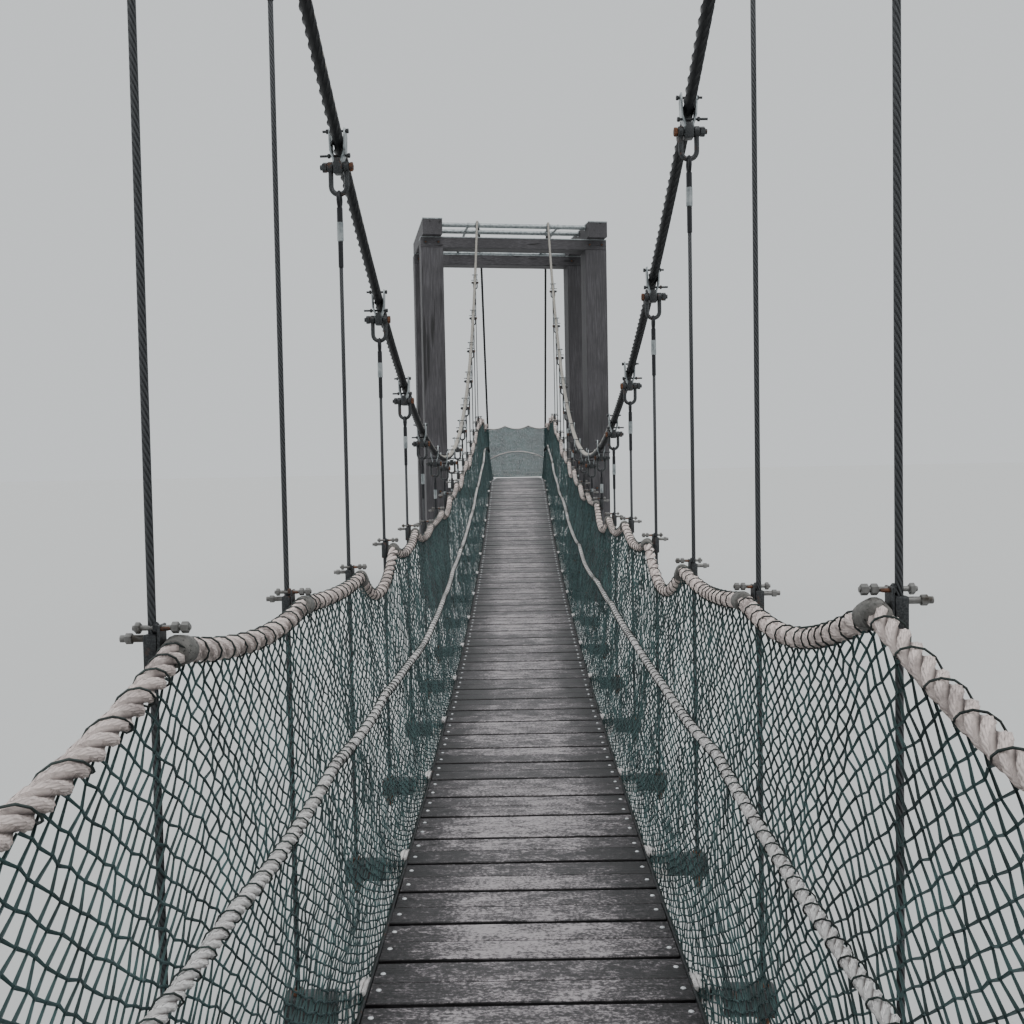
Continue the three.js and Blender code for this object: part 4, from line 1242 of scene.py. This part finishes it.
# A square washer, a nut and the bolt's end, standing on a face that looks in the given direction
def makeWasherNut(spot, direction):
    s = washerSizes
    seat = Matrix.Translation(spot) @ Vector(direction).to_track_quat("Z", "Y").to_matrix().to_4x4()
    washer = makeFlat((-s["half"], -s["half"], 0), (s["half"], s["half"], s["thick"]), s["edge"], "darkSteel")
    foot, top, radius = s["nut"]
    nut = makeNut((0, 0, foot), (0, 0, top), radius, "rust")
    foot, top, radius = s["stub"]
    parts = [washer, nut, coat(startRod((0, 0, foot), (0, 0, top), radius, 8), "rust")]
    for part in parts:
        part.data.transform(seat)
    return parts


def makeTowerFrame(name, end, frameName):
    t = towerSizes
    half, depth = t["post"] / 2, t["headDepth"] / 2
    y = end * towerPlaces[frameName]
    headLow, headHigh = t["head"]
    outer, inner = t["postX"] + half, t["postX"] - half
    parts = []
    for side in (-1, 1):
        x = side * t["postX"]
        low, high = (x - half, y - half, 0), (x + half, y + half, headLow)
        parts.append(makeTimber(low, high, 2, "timberUp", t["arris"]))
    low, high = (-outer, y - depth, headLow), (outer, y + depth, headHigh)
    parts.append(makeTimber(low, high, 0, "timberAcross", t["arris"]))
    bearerTop = deckTop(end * landingEdge) - t["bearerDrop"]
    reach, thick = inner + t["bearerLap"], t["bearerDepth"] / 2
    low, high = (-reach, y - thick, bearerTop - t["bearerHigh"]), (reach, y + thick, bearerTop)
    parts.append(makeTimber(low, high, 0, "timberAcross", t["bearerArris"]))
    for side in (-1, 1):
        for face in (-1, 1):
            for x in t["headBolts"]:
                parts += makeWasherNut((side * x, y + face * depth, (headLow + headHigh) / 2), (0, face, 0))
            for drop in t["bearerBolts"]:
                spot = (side * (t["postX"] - t["boltIn"]), y + face * half, bearerTop - drop)
                parts += makeWasherNut(spot, (0, face, 0))
    c = cappingSizes
    parts.append(makeFlat((-outer - c["past"], y - depth - c["over"], headHigh - c["drop"]),
                          (outer + c["past"], y + depth + c["over"], headHigh + c["up"]), c["edge"], "zinc"))
    return turnOnPlan(joined(parts, f"tower{name}{frameName.title()}Frame"), end)


def makeSideBeam(name, end, sideName, side):
    s = sideBeamSizes
    low = towerSizes["head"][1] + s["seat"]
    x, half = side * towerSizes["postX"], s["width"] / 2
    near, far = sorted((end * s["from"], end * s["to"]))
    top = low + s["high"]
    beam = makeTimber((x - half, near, low), (x + half, far, top), 1, "timberAlong", towerSizes["arris"])
    capping = makeFlat((x - half - s["over"], near - s["over"], top - s["drop"]),
                       (x + half + s["over"], far + s["over"], top + s["up"]), cappingSizes["edge"], "zinc")
    return turnOnPlan(joined([beam, capping], f"tower{name}SideBeam{sideName.title()}"), end)


# A ring round a saddle pipe, its size given as its radius and its width
def makeRing(x, y, z, size):
    outer, wide = size
    ring = startRod((x - wide / 2, y, z), (x + wide / 2, y, z), outer, 24)
    return coat(softenRims(ring, saddleSizes["edge"]), "zinc")


# A flat bar from one saddle pipe to the next
def makeStrap(x, end, first, second):
    (y1, z1), (y2, z2) = first, second
    half, thick = saddleSizes["strap"]
    length = math.hypot(y2 - y1, z2 - z1)
    strap = makeFlat((-half, -length / 2, -thick), (half, length / 2, thick), saddleSizes["edge"], "zinc")
    strap.data.transform(Matrix.Translation((x, end * (y1 + y2) / 2, (z1 + z2) / 2))
                         @ Matrix.Rotation(end * math.atan2(z2 - z1, y2 - y1), 4, "X"))
    return strap


# Three pipes between the side beams, with rings beside the cables and straps from pipe to pipe. The tower is
# turned on plan against the cables, so its pipes lie closer together than the bends of a cable
def makeSaddle(name, end):
    s = saddleSizes
    front = towerPlaces["front"]
    onCable = saddlePlaces()[2:]
    pipes = [(front + (along - front) * math.cos(towerTurn), z) for along, z in onCable]
    reach = towerSizes["postX"] - sideBeamSizes["width"] / 2 + s["inBeams"]
    parts = []
    for (along, _), (place, z) in zip(onCable, pipes):
        y = end * place
        parts.append(coat(startRod((-reach, y, z), (reach, y, z), pipeSizes["r"], 28), "zinc"))
        for side in (-1, 1):
            crossing = side * cableLine["x"] / math.cos(towerTurn)
            crossing += end * (along - front) * math.sin(towerTurn)
            for offset in (-s["cableRingAt"], s["cableRingAt"]):
                parts.append(makeRing(crossing + offset, y, z, s["cableRing"]))
            parts.append(makeRing(side * (reach - s["endRingIn"]), y, z, s["endRing"]))
            parts.append(makeRing(side * s["strapX"], y, z, s["strapRing"]))
    for side in (-1, 1):
        for first, second in zip(pipes, pipes[1:]):
            parts.append(makeStrap(side * s["strapX"], end, first, second))
    smoothRounds(parts)
    return turnOnPlan(joined(parts, f"tower{name}Saddle"), end)


for name, end in (("Near", -1), ("Far", 1)):
    tower = "tower_" + name.lower()
    for frameName in towerPlaces:
        settle(makeTowerFrame(name, end, frameName), "timber", f"{tower}_{frameName}_frame")
    for sideName, side in (("left", -1), ("right", 1)):
        settle(makeSideBeam(name, end, sideName, side), "timber", f"{tower}_side_beam_{sideName}")
    settle(makeSaddle(name, end), "zinc_steel", tower + "_saddle")
print("towers raised")


# Landings: boards on two bearers and two joists, with chamfered guard posts
landingSizes = {"end": 13.4, "pairs": 10, "boardsIn": 0.02, "bearerX": 0.42, "bearerWide": 0.1,
                "bearerHigh": 0.15, "bearerGap": 0.0015, "joistDrop": 0.045, "joistHigh": 0.1,
                "joistWide": 0.1, "arris": 0.005, "bolts": (0.03, 0.07)}
guardSizes = {"post": 0.09, "high": 1.25, "arris": 0.006, "point": 0.022, "pointShare": 0.34,
              "offRope": 0.0003}
coilSizes = {"half": 0.05, "rope": 0.0055, "turns": 5, "wide": 2.05, "handHalf": 0.035, "midHalf": 0.03}


def makeGuardPost(x, y, low, high):
    s = guardSizes
    half = s["post"] / 2
    post = startBlock((x - half, y - half, low), (x + half, y + half, high))
    softenLongEdges(post, 2, s["arris"])
    cutAcross(post, [high - s["point"]], 2)
    for point in post.data.vertices:
        if point.co.z > high - 0.001:
            point.co.x += (x - point.co.x) * s["pointShare"]
            point.co.y += (y - point.co.y) * s["pointShare"]
    return coat(post, "timberUp")


# A coil of thin rope round a square post and the rope beside it, halfway up at the given height
def windPost(name, x, y, middle, halfHigh):
    s = coilSizes
    inward = -1 if x > 0 else 1
    winding = []
    for share, across, out in squareTurns(s["turns"], 16):
        wide = s["wide"] if across * inward > 0 else 1
        height = middle + halfHigh * (2 * share - 1)
        winding.append((x + s["half"] * across * wide, y + s["half"] * out, height))
    return plainTube(name, winding, "rope", s["rope"], 6)


def makeLanding(name, end):
    s, g = landingSizes, guardSizes
    top = deckTop(end * landingEdge)
    start = s["boardsIn"] + (landingEdge if end > 0 else -s["end"])
    boardsHere, boltsHere = layBoards("landingBoards" + name, start, s["pairs"], lambda y: top)
    under = top - boardSizes["thick"] - s["bearerGap"]
    near, far = sorted((end * landingEdge, end * s["end"]))
    half = s["bearerWide"] / 2
    parts = []
    for side in (-1, 1):
        x = side * s["bearerX"]
        low, high = (x - half, near, under - s["bearerHigh"]), (x + half, far, under)
        parts.append(makeTimber(low, high, 1, "timberAlong", s["arris"]))
    postX = ropeLine["x"] + ropeLine["r"] + g["offRope"] + g["post"] / 2
    outer = postX + g["post"] / 2
    joistTop = top - s["joistDrop"]
    joistLow = joistTop - s["joistHigh"]
    half = s["joistWide"] / 2
    for y in (end * place for place in guardPlaces):
        low, high = (-outer, y - half, joistLow), (outer, y + half, joistTop)
        parts.append(makeTimber(low, high, 0, "timberAcross", s["arris"]))
        for side in (-1, 1):
            parts.append(makeGuardPost(side * postX, y, joistLow, top + g["high"]))
            for drop in s["bolts"]:
                parts += makeWasherNut((side * outer, y, joistTop - drop), (side, 0, 0))
    settle(joined(parts, "landingTimbers" + name), "timber", "landing_" + name.lower())
    settle(boardsHere, "deck_boards")
    settle(boltsHere, "zinc_steel")
    for sideName, side in (("Left", -1), ("Right", 1)):
        x = side * postX
        for number, y in enumerate((end * place for place in guardPlaces), 1):
            coilName = f"postLashing{name}{sideName}{number}"
            settle(windPost(coilName, x, y, handRopeHeight(side, y), coilSizes["handHalf"]), "natural_rope")
        y = end * netEnd
        coilName = f"midPostLashing{name}{sideName}"
        settle(windPost(coilName, x, y, midRopeHeight(side, y), coilSizes["midHalf"]), "natural_rope")


makeLanding("Near", -1)
makeLanding("Far", 1)
print("landings built")


# Net across the far end: mesh painted lighter and bluer than the side nets as painted sky light and haze,
# gathered close, under a pale rope in three scallops, and a second rope arched across its middle
endNetLook = {"columns": 140, "rows": 37, "twine": 0.0066, "knot": 0.0074, "jitter": 0.0028}
endNetHang = {"half": 0.79, "y": 13.2603, "foot": 0.02, "height": 1.18, "sag": 0.07, "scallops": 3,
              "wave": 0.004}
endRopeLook = {"r": 0.0148, "strands": 3, "lay": 0.08, "perStrand": 3, "stepsPerTurn": 8, "fill": 0.68}
archLook = {"r": 0.0135, "strands": 3, "lay": 0.065, "perStrand": 3, "stepsPerTurn": 6.5, "fill": 0.68}
archLine = {"half": 0.75, "top": 0.6, "drop": 0.24, "in": 0.016}


def endHead(x):
    s = endNetHang
    place = (x + s["half"]) / (2 * s["half"]) * s["scallops"]
    share = place - math.floor(min(place, s["scallops"] - 1e-6))
    return deckTop(landingEdge) + s["height"] - 4 * s["sag"] * share * (1 - share)


def endNetSpot(share, height):
    s = endNetHang
    x = -s["half"] + 2 * s["half"] * share
    foot = deckTop(landingEdge) + s["foot"]
    return (x, s["y"] + s["wave"] * math.sin(7 * x), foot + (endHead(x) - foot) * height)


def archSpot(x):
    s = archLine
    return (x, endNetHang["y"] - s["in"], deckTop(landingEdge) + s["top"] - s["drop"] * (x / s["half"]) ** 2)


endNet = knottedNet("endNetFar", endNetLook["columns"], endNetLook["rows"], endNetSpot, endNetLook, "hazeLitNet")
settle(endNet, "net_twine", "end_net_far")
half = endNetHang["half"]
scallops = [(x, endNetHang["y"], endHead(x)) for x in np.linspace(-half, half, 49)]
settle(laidRope("endHeadRope", scallops, "paleRope", endRopeLook["r"], endRopeLook), "natural_rope")
arch = [archSpot(x) for x in np.linspace(-archLine["half"], archLine["half"], 31)]
settle(laidRope("endMidRope", arch, "paleRope", archLook["r"], archLook), "natural_rope")
print("end net tied")


# Anchor blocks: concrete with chamfered edges, a base plate and a socket for each cable
anchorSizes = {"halfWidth": 1.15, "from": 18.25, "to": 19.5, "high": 0.75, "chamfer": 0.03,
               "cuts": (-0.55, 0, 0.55)}
socketSizes = {"steps": ((0.0, 0.03, 0.036), (0.03, 0.16, 0.045), (0.16, 0.18, 0.041), (0.18, 0.42, 0.03)),
               "nut": (0.33, 0.38, 0.044), "edge": 0.003}
plateSizes = {"half": 0.17, "sunk": 0.002, "thick": 0.02, "bolts": (-0.13, 0.13), "edge": 0.003}


# A stepped socket along the cable's end, pulled up by a nut
def makeSocket(seat):
    parts = []
    for start, stop, radius in socketSizes["steps"]:
        step = startRod((0, start, 0), (0, stop, 0), radius, 20)
        parts.append(coat(softenRims(step, socketSizes["edge"]), "zinc"))
    start, stop, radius = socketSizes["nut"]
    parts.append(makeNut((0, start, 0), (0, stop, 0), radius, "rust"))
    for part in parts:
        part.data.transform(seat)
    return parts


def makeAnchor(name, end):
    s, p = anchorSizes, plateSizes
    near, far = sorted((end * s["from"], end * s["to"]))
    block = startBlock((-s["halfWidth"], near, 0), (s["halfWidth"], far, s["high"]))
    softenEdges(block, s["chamfer"], 2)
    cutAcross(block, s["cuts"], 0)
    endY, endZ = cableHalf()[-1]
    slant = Matrix.Rotation(-cableLine["stay"] if end > 0 else math.pi + cableLine["stay"], 4, "X")
    fittings = []
    for side in (-1, 1):
        x = side * cableLine["x"]
        fittings += makeSocket(Matrix.Translation((x, end * endY + side * cableLine["shift"], endZ)) @ slant)
        entry = end * (endY + (endZ - s["high"]) / math.tan(cableLine["stay"])) + side * cableLine["shift"]
        top = s["high"] + p["thick"]
        fittings.append(makeFlat((x - p["half"], entry - p["half"], s["high"] - p["sunk"]),
                                 (x + p["half"], entry + p["half"], top), p["edge"], "darkSteel"))
        for dx in p["bolts"]:
            for dy in p["bolts"]:
                fittings += makeWasherNut((x + dx, entry + dy, top), (0, 0, 1))
    smoothRounds(fittings)
    anchor = joined([coat(block, "concrete")] + fittings, "anchorBlock" + name)
    settle(anchor, "concrete", "anchor_block_" + name.lower())


makeAnchor("Near", -1)
makeAnchor("Far", 1)
for pattern in boardKinds + [domeBolt, hangerTop, ropeBracket, crossBeam, beamWrapPair]:
    bpy.data.objects.remove(pattern)
print("anchors set")


# Floor, a pale sky and two soft suns
lampLooks = {"softKey": {"energy": 1.6, "width": 60, "turn": (32, 0, 25)},
             "softFill": {"energy": 0.6, "width": 90, "turn": (50, 0, -130)}}


def makeFloor():
    bpy.ops.object.select_all(action="DESELECT")
    bpy.ops.mesh.primitive_plane_add(size=3000, location=(0, 0, 0))
    floor = bpy.context.object
    floor.name = "studioFloor"
    material, _, shader = startMaterial("paleFloor")
    fillInputs(shader, {"Base Color": "c3c4c3", "Roughness": 0.9})
    floor.data.materials.append(material)
    floor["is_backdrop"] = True


def makeSky():
    world = bpy.data.worlds.new("softSky")
    bpy.context.scene.world = world
    world.use_nodes = True
    fillInputs(world.node_tree.nodes["Background"], {"Color": "e6eaec", "Strength": 1.0})


def makeLamp(name, look):
    data = bpy.data.lights.new(name, "SUN")
    data.energy = look["energy"]
    data.angle = math.radians(look["width"])
    lamp = bpy.data.objects.new(name, data)
    lamp.rotation_euler = [math.radians(part) for part in look["turn"]]
    bpy.context.scene.collection.objects.link(lamp)


makeFloor()
makeSky()
for name, look in lampLooks.items():
    makeLamp(name, look)
print("stage lit")

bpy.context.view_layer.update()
triangles = 0
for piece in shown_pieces():
    piece.data.calc_loop_triangles()
    triangles += len(piece.data.loop_triangles)
print("triangles", triangles)
